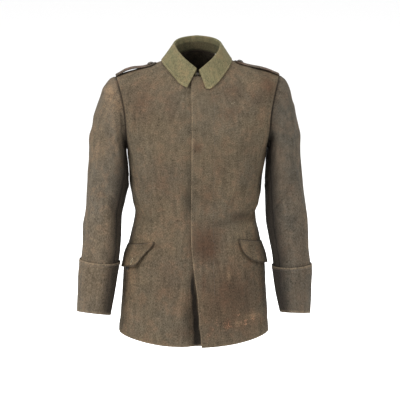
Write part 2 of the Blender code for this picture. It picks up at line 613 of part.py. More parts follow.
def make_collar(material, group):
    """The collar: a stand that rises from the neckline, a round fold, and the leaf that falls over."""
    angles = collar_angles()
    turned = np.degrees(np.abs(wrapped(angles)))
    spoke = np.stack([np.sin(angles), -np.cos(angles), np.zeros_like(angles)], axis=-1)
    upright = np.array([0.0, 0.0, 1.0])
    neck = body_point(angles, np.full_like(angles, NECK_LEVEL))
    base = neck + COLLAR_BASE_GAP * upright - CLOTH * spoke
    fold_centre = (eased_curve(turned, COLLAR_FOLD["angle"], COLLAR_FOLD["reach"])[:, None] * spoke
                   + (eased_curve(turned, COLLAR_FOLD["angle"], COLLAR_FOLD["z"])
                      - COLLAR_FOLD_RADIUS)[:, None] * upright)
    edge = leaf_edge(angles)
    falling = unit(edge - fold_centre)
    facing_out = unit(np.cross(unit(np.gradient(edge, axis=0)), falling))
    facing_out = facing_out * np.sign(np.sum(facing_out * (spoke + upright), axis=-1))[:, None]
    outer_rows = []
    inner_rows = []
    stand_out = unit(np.cross(np.cross(fold_centre - base, spoke), fold_centre - base))
    for share in np.linspace(0.0, 1.0, COLLAR_STAND_ROWS + 1):
        into_wall = unit(spoke * (1.0 - share) + stand_out * share)
        row = base + (fold_centre - COLLAR_FOLD_RADIUS * stand_out - base) * share
        outer_rows.append(row)
        inner_rows.append(row + CLOTH * into_wall)
    for share in np.linspace(0.0, 1.0, COLLAR_FOLD_ROWS + 2)[1:-1]:
        turn = math.pi * share
        direction = unit(-math.cos(turn) * (stand_out * (1.0 - share) + facing_out * share)
                         + math.sin(turn) * upright)
        outer_rows.append(fold_centre + COLLAR_FOLD_RADIUS * direction)
        inner_rows.append(fold_centre + (COLLAR_FOLD_RADIUS - CLOTH) * direction)
    for share in np.linspace(0.0, 1.0, COLLAR_FALL_ROWS + 1):
        start = fold_centre + COLLAR_FOLD_RADIUS * facing_out
        row = start + (edge - start) * share
        outer_rows.append(row)
        inner_rows.append(row - CLOTH * facing_out)
    wall("collar", np.stack(outer_rows), np.stack(inner_rows), material, group)


def flap_point(share, down, side):
    """A point of a pocket flap's outer face: the front's surface, moved out more towards the free edge."""
    size = FLAP[side]
    angle = np.radians(size["front_angle"] + (size["rear_angle"] - size["front_angle"]) * share)
    seam = size["front_level"] + (size["rear_level"] - size["front_level"]) * share
    depth = eased_curve(share, size["share"], size["depth"])
    level = seam - depth * down
    stand_off = FLAP_STAND_OFF * (depth / max(size["depth"])) * down ** FLAP_STAND_OFF_POWER
    stand_off = stand_off * (1.0 - FLAP_REAR_SETTLE * smooth_step(share, FLAP_REAR_START, 1.0))
    lift = LAYER_GAP + CLOTH + stand_off
    angle = side_angle(angle, side)
    normal = body_normal(angle, level)
    base = body_point(angle, level)
    if side == "left":
        lift = lift + left_front_lift(base, level)
    return base + lift[..., None] * normal, normal


def make_flap(side, material, group):
    """A pocket flap with a rounded front corner, sewn along its top and free below."""
    share, down = np.meshgrid(np.linspace(0.0, 1.0, FLAP_COLUMNS + 1), np.linspace(0.0, 1.0, FLAP_ROWS + 1))
    outer, normal = flap_point(share, down, side)
    wall("pocket_flap_" + side, outer, outer - CLOTH * normal, material, group)


def strap_frame(level, side):
    """Middle line of a shoulder strap's top face, which arches off the shoulder halfway, and the
    direction that faces up from it."""
    angle = np.full_like(level, side_angle(math.pi / 2.0, side))
    ridge = body_point(angle, level)
    lower, upper = (body_point(angle, np.full_like(level, stop)) for stop in STRAP_SLOPE_LEVELS)
    inward = unit((upper - lower) * np.array([1.0, 0.0, 1.0]))
    upward = unit(np.cross(inward, np.array([0.0, 1.0, 0.0])))
    upward = upward * np.sign(upward[..., 2:3])
    share = (level - STRAP_OUTER_LEVEL) / (STRAP_INNER_LEVEL[side] - STRAP_OUTER_LEVEL)
    arch = smooth_step(share, *STRAP_ARCH_RISE) * (1.0 - smooth_step(share, *STRAP_ARCH_FALL))
    arch = STRAP_ARCH[side] * arch
    return ridge + (STRAP_LIFT + STRAP_THICKNESS + arch)[..., None] * upward, upward


def strap_half_width(share):
    """Half the strap's width: straight, then a half circle at the end next to the collar."""
    into_end = np.clip((share - 1.0 + STRAP_ROUND_SHARE) / STRAP_ROUND_SHARE, 0.0, STRAP_END_FULLEST)
    return STRAP_HALF_WIDTH * np.sqrt(1.0 - into_end ** 2)


def make_strap(side, material, group):
    """A shoulder strap, sewn in at the sleeve and rounded at the collar, with a slight crown."""
    share = np.linspace(0.0, 1.0, STRAP_ALONG + 1)
    share = np.concatenate([share[:-2], STRAP_END_SHARES])
    level = STRAP_OUTER_LEVEL + (STRAP_INNER_LEVEL[side] - STRAP_OUTER_LEVEL) * share
    middle, upward = strap_frame(level, side)
    across = np.linspace(-1.0, 1.0, STRAP_ACROSS + 1)
    y = strap_half_width(share)[:, None] * across[None, :]
    top = middle[:, None, :] + np.stack([np.zeros_like(y), y, -0.5 * STRAP_CROWN * y * y], axis=-1)
    wall("shoulder_strap_" + side, top, top - STRAP_THICKNESS * upward[:, None, :], material, group)


def make_button(name, place, facing, material, group):
    """A domed button: its profile turned about its axis, flat underneath, seated just off the cloth."""
    turns = np.linspace(0.0, math.pi / 2.0, BUTTON_DOME_POINTS)[1:]
    rim = BUTTON_RIM_SHARE
    dome = [(BUTTON_RADIUS * math.sin(turn), BUTTON_HEIGHT * (rim + (1.0 - rim) * math.cos(turn)))
            for turn in turns]
    profile = [(0.0, BUTTON_HEIGHT)] + dome + [(BUTTON_RADIUS * BUTTON_SEAT_SHARE, 0.0), (0.0, 0.0)]
    mesh = bpy.data.meshes.new(name)
    points = [(radius, 0.0, height) for radius, height in profile]
    mesh.from_pydata(points, [(step, step + 1) for step in range(len(points) - 1)], [])
    mesh.materials.append(material)
    button = bpy.data.objects.new(name, mesh)
    group.objects.link(button)
    turning = button.modifiers.new("turned", "SCREW")
    turning.steps = BUTTON_STEPS
    turning.render_steps = BUTTON_STEPS
    turning.use_merge_vertices = True
    turning.merge_threshold = BUTTON_MERGE
    turning.use_normal_calculate = True
    button.location = place + BUTTON_SEAT_GAP * facing
    across = unit(np.cross(np.array([0.0, 1.0, 0.0]), facing))
    upright = np.cross(facing, across)
    button.rotation_euler = rotation_of(across, upright, facing)
    return button


def rotation_of(first, second, third):
    """Turn that carries the X, Y and Z axes to three directions."""
    return Matrix(np.stack([first, second, third], axis=-1).tolist()).to_euler()


def make_strap_button(side, material, group):
    """The button that holds a shoulder strap, on the strap's top face near the collar."""
    middle, upward = strap_frame(np.array([STRAP_BUTTON_LEVEL[side]]), side)
    make_button("strap_button_" + side, middle[0], upward[0], material, group)


def make_pocket_button(side, material, group):
    """The pocket's button, on the front under the flap's free edge."""
    place = POCKET_BUTTON[side]
    angle = np.array([side_angle(math.radians(place["angle"]), side)])
    level = np.array([place["level"]])
    point = body_point(angle, level)
    normal = body_normal(angle, level)
    if side == "left":
        point = point + left_front_lift(point, level)[..., None] * normal
    seat = point[0] - place["settle"] * normal[0]
    make_button("pocket_button_" + side, seat, normal[0], material, group)


def main():
    """Builds every piece of the tunic."""
    clear_scene()
    group = make_collection("field_tunic")
    wool = make_material("brown_grey_wool", (0.155, 0.128, 0.092), 0.92, 0.0)
    collar_cloth = make_material("olive_collar_cloth", (0.235, 0.215, 0.115), 0.90, 0.0)
    strap_cloth = make_material("strap_cloth", (0.120, 0.085, 0.062), 0.90, 0.0)
    metal = make_material("dull_button_metal", (0.040, 0.036, 0.030), 0.45, 0.8)
    make_fronts(wool, group)
    make_back(wool, group)
    make_collar(collar_cloth, group)
    for side in ("left", "right"):
        make_sleeve(side, wool, group)
        make_cuff(side, wool, group)
        make_flap(side, wool, group)
        make_strap(side, strap_cloth, group)
        make_strap_button(side, metal, group)
        make_pocket_button(side, metal, group)


main()
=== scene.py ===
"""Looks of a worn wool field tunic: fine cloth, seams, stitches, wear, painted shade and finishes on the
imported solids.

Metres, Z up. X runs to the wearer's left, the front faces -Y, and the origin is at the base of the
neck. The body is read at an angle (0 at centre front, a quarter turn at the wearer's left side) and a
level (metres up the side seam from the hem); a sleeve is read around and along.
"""
import math

import bpy
import numpy as np
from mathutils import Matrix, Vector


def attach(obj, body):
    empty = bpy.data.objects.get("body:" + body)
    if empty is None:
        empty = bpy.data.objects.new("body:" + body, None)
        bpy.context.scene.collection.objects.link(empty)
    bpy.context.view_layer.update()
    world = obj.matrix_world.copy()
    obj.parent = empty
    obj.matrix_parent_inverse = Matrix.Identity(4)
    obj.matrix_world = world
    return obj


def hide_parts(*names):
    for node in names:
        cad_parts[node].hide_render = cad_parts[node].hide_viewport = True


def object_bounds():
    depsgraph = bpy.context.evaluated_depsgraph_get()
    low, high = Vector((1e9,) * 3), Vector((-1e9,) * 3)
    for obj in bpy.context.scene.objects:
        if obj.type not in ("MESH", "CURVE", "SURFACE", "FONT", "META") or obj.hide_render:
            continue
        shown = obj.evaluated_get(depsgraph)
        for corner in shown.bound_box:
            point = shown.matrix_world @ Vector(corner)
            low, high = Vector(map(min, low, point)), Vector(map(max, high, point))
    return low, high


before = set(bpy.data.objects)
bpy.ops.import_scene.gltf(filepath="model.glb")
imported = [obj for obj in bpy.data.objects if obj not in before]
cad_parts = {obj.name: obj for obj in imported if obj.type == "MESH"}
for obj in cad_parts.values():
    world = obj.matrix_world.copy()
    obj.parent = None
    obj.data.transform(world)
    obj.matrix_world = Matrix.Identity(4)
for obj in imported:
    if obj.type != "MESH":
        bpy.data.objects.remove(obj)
cad_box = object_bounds()

# Cloth and seams
CLOTH = 0.0022
SEAM_GAP = 0.0004
LAYER_GAP = 0.0010
NORMAL_STEP = 0.0025

# Levels of the body, measured up the side seam from the hem
ARMPIT_LEVEL = 0.48
SHOULDER_LEVEL = 0.66
NECK_LEVEL = 0.80
SKIRT_ROWS = 112
ARMHOLE_ROWS = 64
SHOULDER_ROWS = 36
SHOULDER_CROWDING = 1.5
FRONT_COLUMNS = 64
BACK_COLUMNS = 124

# The body's rings: height at the side, centre front and centre back, half width, depth to the front
# and to the back, squareness of the ring, how late the edge rises to the side, and sideways lean
BODY_RINGS = {
    "level":      (0.00, 0.10, 0.20, 0.25, 0.30, 0.35, 0.40, 0.48, 0.57, 0.66, 0.74, 0.80),
    "side":       (-0.708, -0.610, -0.510, -0.460, -0.410, -0.360, -0.312, -0.235, -0.145, -0.062,
                   -0.024, 0.000),
    "front":      (-0.727, -0.625, -0.522, -0.468, -0.415, -0.366, -0.322, -0.252, -0.190, -0.128,
                   -0.080, -0.032),
    "back":       (-0.722, -0.618, -0.514, -0.462, -0.411, -0.360, -0.312, -0.236, -0.158, -0.085,
                   -0.026, 0.015),
    "half_width": (0.194, 0.187, 0.180, 0.1665, 0.157, 0.1625, 0.169, 0.179, 0.197, 0.190,
                   0.133, 0.070),
    "to_front":   (0.131, 0.127, 0.119, 0.111, 0.106, 0.110, 0.118, 0.128, 0.130, 0.120,
                   0.100, 0.078),
    "to_back":    (0.130, 0.122, 0.108, 0.095, 0.087, 0.091, 0.100, 0.113, 0.118, 0.109,
                   0.087, 0.060),
    "squareness": (2.2, 2.2, 2.2, 2.2, 2.2, 2.2, 2.25, 2.3, 2.3, 2.2, 2.1, 2.0),
    "rise":       (4.0, 4.0, 4.0, 4.0, 4.0, 4.0, 4.0, 4.0, 4.3, 4.2, 3.2, 2.0),
    "lean":       (-0.010, -0.009, -0.008, -0.007, -0.006, -0.005, -0.004, -0.002, -0.001, 0.000,
                   0.000, 0.000),
}

# The line up the very side, which turns sharply inward at the shoulder's tip
SIDE_LINE = {
    "level":      (0.00, 0.10, 0.20, 0.25, 0.30, 0.35, 0.40, 0.48, 0.57, 0.64, 0.66, 0.68, 0.74, 0.80),
    "height":     (-0.708, -0.610, -0.510, -0.460, -0.410, -0.360, -0.312, -0.235, -0.145, -0.0640,
                   -0.0445, -0.0375, -0.0210, 0.0000),
    "half_width": (0.194, 0.187, 0.180, 0.1665, 0.157, 0.1625, 0.169, 0.179, 0.201, 0.2110,
                   0.2095, 0.1945, 0.138, 0.070),
}
SIDE_LINE_POWER = 10

# Seams on the body, in degrees from centre front
SIDE_SEAM = {
    "level": (0.00, 0.12, 0.30, 0.48),
    "angle": (86.0, 90.0, 94.0, 90.0),
}
ARMHOLE_INTO_FRONT = 17.0
ARMHOLE_INTO_BACK = 19.0

# Front edges: the wearer's left front laps over the right one
FLY_EDGE = {
    "level": (0.00, 0.06, 0.12, 0.17, 0.22, 0.26, 0.32, 0.80),
    "x":     (0.004, -0.001, -0.005, -0.012, -0.018, -0.021, -0.0215, -0.0195),
}
UNDER_EDGE_X = 0.024
UNDER_INSET_START_X = -0.044
UNDER_INSET_END_X = -0.024
UNDER_TUCK = 0.012
UNDER_TUCK_START_X = -0.034
UNDER_TUCK_END_X = -0.006
FLY_STAND_OFF = 0.012
FLY_STAND_OFF_TOP = 0.24
FLY_STAND_OFF_X = 0.070
FLY_STAND_OFF_FULL_X = -0.010

# Largest folds of the body: place, slant from upright in degrees, half length, half width and rise
BODY_FOLDS = {
    "angle":  (72, 66, -76, 58, -58, 150, -148, 180, 166, -158, 138, -140, 104, -104, 30, -36, -70, 60),
    "level":  (0.31, 0.345, 0.31, 0.46, 0.45, 0.07, 0.08, 0.06, 0.31, 0.335, 0.50, 0.49, 0.09, 0.08,
               0.09, 0.10, 0.37, 0.28),
    "slant":  (80, 62, -78, 24, -22, 4, -5, 0, 84, -80, 18, -16, 6, -5, 3, -2, -60, 55),
    "length": (0.070, 0.080, 0.060, 0.090, 0.095, 0.150, 0.160, 0.150, 0.100, 0.090, 0.110, 0.120,
               0.130, 0.130, 0.120, 0.130, 0.070, 0.080),
    "width":  (0.014, 0.020, 0.016, 0.022, 0.021, 0.032, 0.034, 0.030, 0.015, 0.014, 0.030, 0.028,
               0.026, 0.028, 0.034, 0.036, 0.020, 0.022),
    "rise":   (-0.0050, 0.0040, -0.0040, 0.0050, 0.0045, 0.0060, 0.0055, -0.0045, -0.0045, -0.0040,
               0.0045, 0.0040, -0.0050, -0.0045, 0.0035, 0.0030, 0.0035, 0.0030),
}
FOLD_RADIUS = 0.15

# Finer creases laid on the body, as above, with how much each one bends
BODY_CREASES = {
    "angle":  (63, 52, 74, 70, -66, -74, -70, 78, -78, 40, -30, 12, -14, 66, -64, 170, -172, 150, -152,
               128, -130, 176, -165, 158, 122, -118, -46, 50, 24, -52),
    "level":  (0.300, 0.292, 0.325, 0.285, 0.302, 0.322, 0.280, 0.455, 0.450, 0.420, 0.400, 0.130, 0.120,
               0.540, 0.545, 0.330, 0.300, 0.315, 0.345, 0.300, 0.310, 0.580, 0.560, 0.470, 0.460,
               0.450, 0.130, 0.110, 0.500, 0.240),
    "slant":  (84, 78, 40, -52, -80, -36, 48, 14, -12, 8, -6, 3, -4, 30, -34, 86, 82, -72, 70, -58, 60,
               10, -12, 30, 38, -40, -5, 6, 4, -8),
    "length": (0.034, 0.028, 0.022, 0.026, 0.030, 0.024, 0.026, 0.030, 0.034, 0.075, 0.085, 0.100, 0.110,
               0.045, 0.050, 0.060, 0.048, 0.040, 0.050, 0.042, 0.038, 0.080, 0.070, 0.060, 0.040,
               0.044, 0.090, 0.080, 0.070, 0.060),
    "width":  (0.0070, 0.0060, 0.0065, 0.0075, 0.0070, 0.0065, 0.0080, 0.0090, 0.0090, 0.0160, 0.0170,
               0.0150, 0.0160, 0.0110, 0.0100, 0.0080, 0.0070, 0.0080, 0.0090, 0.0080, 0.0070, 0.0180,
               0.0160, 0.0120, 0.0100, 0.0110, 0.0170, 0.0150, 0.0170, 0.0140),
    "rise":   (-0.0016, 0.0012, 0.0016, 0.0014, -0.0014, 0.0015, 0.0013, 0.0018, 0.0016, 0.0012, 0.0011,
               0.0013, 0.0012, 0.0014, 0.0013, -0.0018, 0.0014, -0.0016, 0.0015, -0.0014, 0.0013,
               0.0014, 0.0012, 0.0015, -0.0014, 0.0014, 0.0016, 0.0014, 0.0010, 0.0012),
    "bend":   (2.0, -3.0, 4.0, 3.0, -2.0, 3.0, -3.0, 2.0, -2.0, 0.6, -0.6, 0.4, -0.4, 1.5, -1.5, 1.5, -2.0,
               2.5, -2.0, 2.5, 2.0, 0.5, -0.6, 1.2, 2.0, -2.0, 0.5, -0.6, 0.4, 1.0),
}

CREASE_DEPTH = 1.6

# A bending crease's shallow twin: its share of the depth, and its place and width in crease widths
TWIN_SHARE = 0.4
TWIN_PLACE = 1.7
TWIN_WIDTH = 1.2

# How far from seams, hem and centre back the creases and the slack fade out
BODY_FREE_FROM_SEAM = 0.022
BODY_FREE_FROM_HEM = 0.012
BACK_FADE_TURN = 0.3
SLEEVE_FREE_FROM_SEAM = 0.018
SLEEVE_FREE_ENDS = (0.90, 0.98)
UNDERARM_FADE_TURN = 0.5

# Slow unevenness of old cloth: waves per metre across and along, shift in turns, and height
CLOTH_WAVES = {
    "across": (9.0, 14.0, 5.0, 21.0, 17.0, 30.0, 11.0, 26.0),
    "along":  (4.0, -7.0, 11.0, 9.0, -16.0, 12.0, 19.0, -22.0),
    "shift":  (0.13, 0.57, 0.31, 0.82, 0.45, 0.07, 0.68, 0.94),
    "height": (0.00055, 0.00045, 0.00050, 0.00028, 0.00026, 0.00016, 0.00024, 0.00014),
}

# Seams: the groove, the ridge of the turned-in cloth beside it, and the hem's turning
GROOVE_DEPTH = 0.0007
GROOVE_WIDTH = 0.0035
RIDGE_RISE = 0.0006
RIDGE_PLACE = 0.0085
RIDGE_WIDTH = 0.0050
HEM_TURNING = (0.027, 0.032)
HEM_RISE = 0.0007
FLY_LINE_X = 0.0375
FLY_RISE = 0.0009
FLY_LINE_DEPTH = 0.0008
FLY_LINE_WIDTH = 0.0022
FLY_LINE_LEVELS = (0.16, 0.24, 0.47, 0.58)
FLY_BAND_ENDS = (-0.002, 0.006)
FLY_WAVER = 0.0012
FLY_WAVER_LENGTH = 0.11

# How far the dark of a seam and the rubbing of an edge reach
SEAM_REACH = {"body": 0.007, "sleeve": 0.006, "cuff": 0.004, "flap": 0.005, "strap": 0.004}
EDGE_REACH = {"body": 0.006, "collar": 0.0045, "flap": 0.004, "strap": 0.004}

# Where a wall rounds off at its edges: shares of half a thickness in from the edge, and its fullness
EDGE_STEPS = (0.0, 0.14, 0.5)
EDGE_FULLNESS = (0.0, 0.51, 0.87)

# Sleeves: outer and inner line seen from the front, half depth and how far the ring hangs forward
SLEEVE_RINGS = {
    "right": {
        "along":  (0.00, 0.02, 0.05, 0.08, 0.14, 0.22, 0.32, 0.42, 0.52, 0.62, 0.72, 0.80, 0.88, 0.94, 1.00),
        "out_x":  (0.2095, 0.2165, 0.2250, 0.2320, 0.2440, 0.2550, 0.2650, 0.2740, 0.2800, 0.2850,
                   0.2925, 0.2985, 0.3050, 0.3080, 0.3096),
        "out_z":  (-0.0440, -0.0462, -0.0515, -0.0590, -0.0790, -0.1100, -0.1500, -0.1950, -0.2500,
                   -0.3200, -0.4100, -0.4850, -0.5500, -0.6020, -0.6480),
        "in_x":   (0.1780, 0.1795, 0.1825, 0.1810, 0.1775, 0.1765, 0.1775, 0.1820, 0.1885, 0.1955,
                   0.1975, 0.2015, 0.2100, 0.2185, 0.2290),
        "in_z":   (-0.2350, -0.2290, -0.2295, -0.2390, -0.2620, -0.2880, -0.3190, -0.3450, -0.3720,
                   -0.4050, -0.4550, -0.5000, -0.5480, -0.6020, -0.6580),
    },
    "left": {
        "along":  (0.00, 0.02, 0.05, 0.08, 0.14, 0.22, 0.32, 0.42, 0.52, 0.62, 0.72, 0.80, 0.88, 0.94, 1.00),
        "out_x":  (0.2095, 0.2160, 0.2240, 0.2295, 0.2380, 0.2460, 0.2540, 0.2600, 0.2650, 0.2720,
                   0.2805, 0.2860, 0.2900, 0.2890, 0.2860),
        "out_z":  (-0.0440, -0.0462, -0.0520, -0.0600, -0.0800, -0.1120, -0.1520, -0.1970, -0.2500,
                   -0.3200, -0.4100, -0.4850, -0.5500, -0.6020, -0.6580),
        "in_x":   (0.1780, 0.1795, 0.1825, 0.1810, 0.1775, 0.1750, 0.1735, 0.1740, 0.1745, 0.1755,
                   0.1825, 0.1905, 0.1960, 0.2030, 0.2140),
        "in_z":   (-0.2350, -0.2290, -0.2295, -0.2390, -0.2620, -0.2880, -0.3190, -0.3480, -0.3800,
                   -0.4150, -0.4600, -0.5020, -0.5500, -0.6020, -0.6540),
    },
}
SLEEVE_DEPTH = {
    "along":   (0.00, 0.08, 0.22, 0.32, 0.52, 0.72, 0.88, 1.00),
    "half":    (0.0560, 0.0630, 0.0700, 0.0720, 0.0690, 0.0630, 0.0570, 0.0530),
    "forward": (0.000, 0.000, 0.001, 0.003, 0.010, 0.024, 0.038, 0.046),
}
ARMHOLE_SHAPE_ENDS = 0.34
ARMHOLE_NORMAL_ENDS = 0.012
SLEEVE_END_TILT = 0.0095
SLEEVE_TILT_START = 0.80
SLEEVE_ROWS = 140
UPPER_SLEEVE_COLUMNS = 56
UNDER_SLEEVE_COLUMNS = 40
HIND_SEAM = math.radians(-75.0)
FORE_SEAM = math.radians(135.0)
SLEEVE_SEAM_TURN = math.radians(0.65)
# Painted shade on the side of the sleeves and cuffs towards the body: strength, and where it begins and is
# full
INNER_SIDE_SHADE = 1.0
INNER_SIDE_SHADE_FROM = (0.05, 0.80)

# Largest folds of a sleeve: place around in degrees (0 outside, 90 front) and along, slant, half
# length, half width, rise
SLEEVE_FOLDS = {
    "around": (100, 70, 150, 110, -100, -80, 20, -10, 90, -120),
    "along":  (0.60, 0.66, 0.30, 0.76, 0.58, 0.67, 0.45, 0.74, 0.20, 0.30),
    "slant":  (72, 64, 40, 75, -70, -60, 50, -66, 20, -22),
    "length": (0.055, 0.060, 0.060, 0.050, 0.055, 0.050, 0.050, 0.050, 0.060, 0.060),
    "width":  (0.014, 0.016, 0.015, 0.014, 0.015, 0.016, 0.018, 0.016, 0.018, 0.018),
    "rise":   (-0.0045, 0.0035, 0.0035, 0.0030, -0.0040, 0.0030, 0.0025, 0.0025, 0.0030, 0.0030),
}
SLEEVE_LENGTH = 0.60
SLEEVE_RADIUS = 0.058

# Finer creases and slack of a sleeve, as for the body
SLEEVE_CREASES = {
    "around": (95, 110, 84, 120, 70, 100, -95, -110, -84, -70, 0, 30, -30, 60, 140, 160, -130, 150, 88, 104),
    "along":  (0.585, 0.625, 0.640, 0.560, 0.700, 0.745, 0.600, 0.560, 0.640, 0.690, 0.350, 0.560, 0.500,
               0.380, 0.180, 0.260, 0.220, 0.440, 0.800, 0.520),
    "slant":  (80, -70, 62, 74, 68, 82, -76, 66, -60, -72, 6, -10, 8, 16, 38, 52, -40, 24, 78, 60),
    "length": (0.026, 0.022, 0.030, 0.024, 0.028, 0.024, 0.028, 0.026, 0.022, 0.026, 0.090, 0.070, 0.080,
               0.060, 0.034, 0.030, 0.036, 0.040, 0.022, 0.026),
    "width":  (0.0060, 0.0055, 0.0065, 0.0060, 0.0070, 0.0065, 0.0065, 0.0060, 0.0065, 0.0070, 0.0130,
               0.0120, 0.0120, 0.0110, 0.0080, 0.0070, 0.0080, 0.0090, 0.0060, 0.0070),
    "rise":   (-0.0016, 0.0014, 0.0013, -0.0012, 0.0013, -0.0014, -0.0015, 0.0013, 0.0012, 0.0012, 0.0014,
               -0.0012, 0.0012, 0.0014, 0.0016, -0.0014, 0.0015, 0.0012, 0.0011, 0.0012),
    "bend":   (3.0, -3.0, 4.0, 2.0, -3.0, 3.0, -3.0, 3.0, 4.0, -2.0, 0.4, -0.6, 0.5, 1.0, 2.5, -3.0, 2.0,
               -1.5, 3.0, -2.0),
}
SLEEVE_CREASE_SHIFT = {"right": 0.0, "left": 0.035}
SLEEVE_SLACK_SHIFT = {"right": 0.0, "left": 0.245}

# Where each kind of piece begins on the cloth's own map, so that no two show the same weave
MAP_START = {"sleeve": 2.0, "cuff": 3.0, "collar": 4.0, "flap": 5.0, "strap": 6.0}

# Turned-back cuffs
CUFF_START = {"right": 0.832, "left": 0.853}
CUFF_ROWS = 34
CUFF_COLUMNS = 96
CUFF_STAND_OFF = 0.0010
CUFF_ROLL = {"rise": 0.0005, "place": 0.004, "width": 0.004}
CUFF_DENTS = {"share": 0.5, "shift": 0.4, "stretch": 1.4, "rise": 0.0004, "deepest": -0.0003}

# Fall collar: fold line by angle round the neck, and the leaf's free edge on the body
COLLAR_FOLD = {
    "angle": (0, 22, 45, 70, 90, 135, 180),
    "reach": (0.0785, 0.0765, 0.0700, 0.0620, 0.0600, 0.0570, 0.0540),
    "z":     (-0.0165, 0.0060, 0.0250, 0.0365, 0.0410, 0.0500, 0.0540),
}
COLLAR_LENGTH = 0.45
COLLAR_STAND_HEIGHT = 0.035
COLLAR_LEAF_DEPTH = 0.050
COLLAR_END = 2.2
COLLAR_CENTRE_TURN = -2.0
COLLAR_COLUMNS = 150
COLLAR_CROWDING = 0.45
COLLAR_BASE_GAP = 0.0006
COLLAR_FOLD_RADIUS = 0.0032
COLLAR_STAND_ROWS = 8
COLLAR_FOLD_ROWS = 8
COLLAR_FALL_ROWS = 16
# How far past the fold the painted shade on the stand's face towards the neck reaches
COLLAR_INSIDE_SHADE_REACH = 0.004
COLLAR_STITCH_ROWS_IN = 5
COLLAR_STITCH_COLUMNS_IN = 5
LEAF_END_ANGLE = {"right": 18.5, "left": 10.5}
LEAF_LEVEL = {
    "angle": (0, 10, 15, 27, 40, 54, 90, 180),
    "right": (0.7620, 0.7620, 0.7620, 0.7645, 0.7725, 0.7775, 0.7810, 0.7850),
    "left":  (0.7630, 0.7610, 0.7585, 0.7660, 0.7745, 0.7800, 0.7850, 0.7860),
}
LEAF_STAND_OFF = 0.0050

# Pocket flaps: the seam along the top and the depth of the free edge below it
FLAP_COLUMNS = 44
FLAP_ROWS = 26
FLAP = {
    "right": {
        "front_angle": 50.0, "rear_angle": 86.0, "front_level": 0.256, "rear_level": 0.232,
        "share": (0.0, 0.05, 0.15, 0.24, 0.33, 0.38, 0.60, 1.0),
        "depth": (0.004, 0.014, 0.026, 0.037, 0.051, 0.058, 0.059, 0.060),
    },
    "left": {
        "front_angle": 50.0, "rear_angle": 86.0, "front_level": 0.262, "rear_level": 0.238,
        "share": (0.0, 0.05, 0.11, 0.17, 0.30, 0.46, 0.60, 1.0),
        "depth": (0.006, 0.022, 0.038, 0.045, 0.053, 0.057, 0.058, 0.060),
    },
}
FLAP_LENGTH = 0.10
FLAP_DEPTH = 0.05
FLAP_SEAM_RISE = 0.0004
# How far the painted shade at a flap's free edges reaches
FLAP_EDGE_SHADE_REACH = 0.0035
FLAP_EDGE_WEAR = 0.5
FLAP_STAND_OFF = 0.0095
FLAP_STAND_OFF_POWER = 1.4
FLAP_REAR_SETTLE = 0.5
FLAP_REAR_START = 0.6
# Painted shadow along the front part of a flap's free edges: strength, reach, and where it ends along the
# flap
FLAP_EDGE_SHADOW = 1.3
FLAP_EDGE_SHADOW_REACH = 0.0055
FLAP_EDGE_SHADOW_ENDS = (0.55, 0.75)
# Painted shade in the buttonhole's open slit
SLIT_SHADE = 1.6

# Shoulder straps
STRAP_HALF_WIDTH = 0.017
STRAP_THICKNESS = 0.0028
STRAP_LIFT = 0.0006
STRAP_INNER_LEVEL = {"right": 0.770, "left": 0.779}
STRAP_ARCH = {"right": 0.0055, "left": 0.0025}
STRAP_ARCH_RISE = (0.0, 0.35)
STRAP_ARCH_FALL = (0.45, 0.80)
STRAP_OUTER_LEVEL = 0.6615
STRAP_ROUND_SHARE = 0.13
STRAP_CROWN = 4.0
STRAP_SLOPE_LEVELS = (0.70, 0.76)
STRAP_WAVE = {"rise": 0.0006, "turns": 2.3, "shift": 0.2}
STRAP_LENGTH = 0.10
STRAP_END_SHARES = (0.0, 0.001, 0.004, 0.008)
STRAP_CROWDING = 1.4
STRAP_COLUMNS = 60
STRAP_ROWS = 18


# Curves and small vector sums

def smooth_step(value, start, end):
    """0 before start, 1 after end, and an even S curve between."""
    share = np.clip((value - start) / (end - start), 0.0, 1.0)
    return share * share * (3.0 - 2.0 * share)


def bell(value, width):
    """1 at zero, falling away evenly on both sides: e to the minus square of value over width."""
    return np.exp(-(value / width) ** 2)


def eased_curve(where, stops, values):
    """A smooth curve through the values that never swings past them: cubics with limited slopes."""
    stops = np.asarray(stops, dtype=float)
    values = np.asarray(values, dtype=float)
    step = np.diff(stops)
    slope = np.diff(values) / step
    before = slope[:-1]
    after = slope[1:]
    same_way = before * after > 0.0
    weight_before = 2.0 * step[1:] + step[:-1]
    weight_after = step[1:] + 2.0 * step[:-1]
    shared = weight_before / np.where(same_way, before, 1.0) + weight_after / np.where(same_way, after, 1.0)
    tangent = np.empty_like(values)
    tangent[0] = slope[0]
    tangent[-1] = slope[-1]
    tangent[1:-1] = np.where(same_way, (weight_before + weight_after) / shared, 0.0)
    where = np.asarray(where, dtype=float)
    piece = np.clip(np.searchsorted(stops, where, side="right") - 1, 0, len(step) - 1)
    share = (where - stops[piece]) / step[piece]
    square = share * share
    cube = square * share
    return ((2.0 * cube - 3.0 * square + 1.0) * values[piece]
            + (cube - 2.0 * square + share) * step[piece] * tangent[piece]
            + (3.0 * square - 2.0 * cube) * values[piece + 1]
            + (cube - square) * step[piece] * tangent[piece + 1])


def unit(vectors):
    """Vectors of length one."""
    return vectors / np.linalg.norm(vectors, axis=-1, keepdims=True)


def path_lengths(path):
    """The length of a path from its start to each of its points."""
    return np.concatenate([[0.0], np.cumsum(np.linalg.norm(np.diff(path, axis=0), axis=-1))])


def wrapped(angle):
    """The same direction, between minus and plus half a turn."""
    return (angle + math.pi) % (2.0 * math.pi) - math.pi


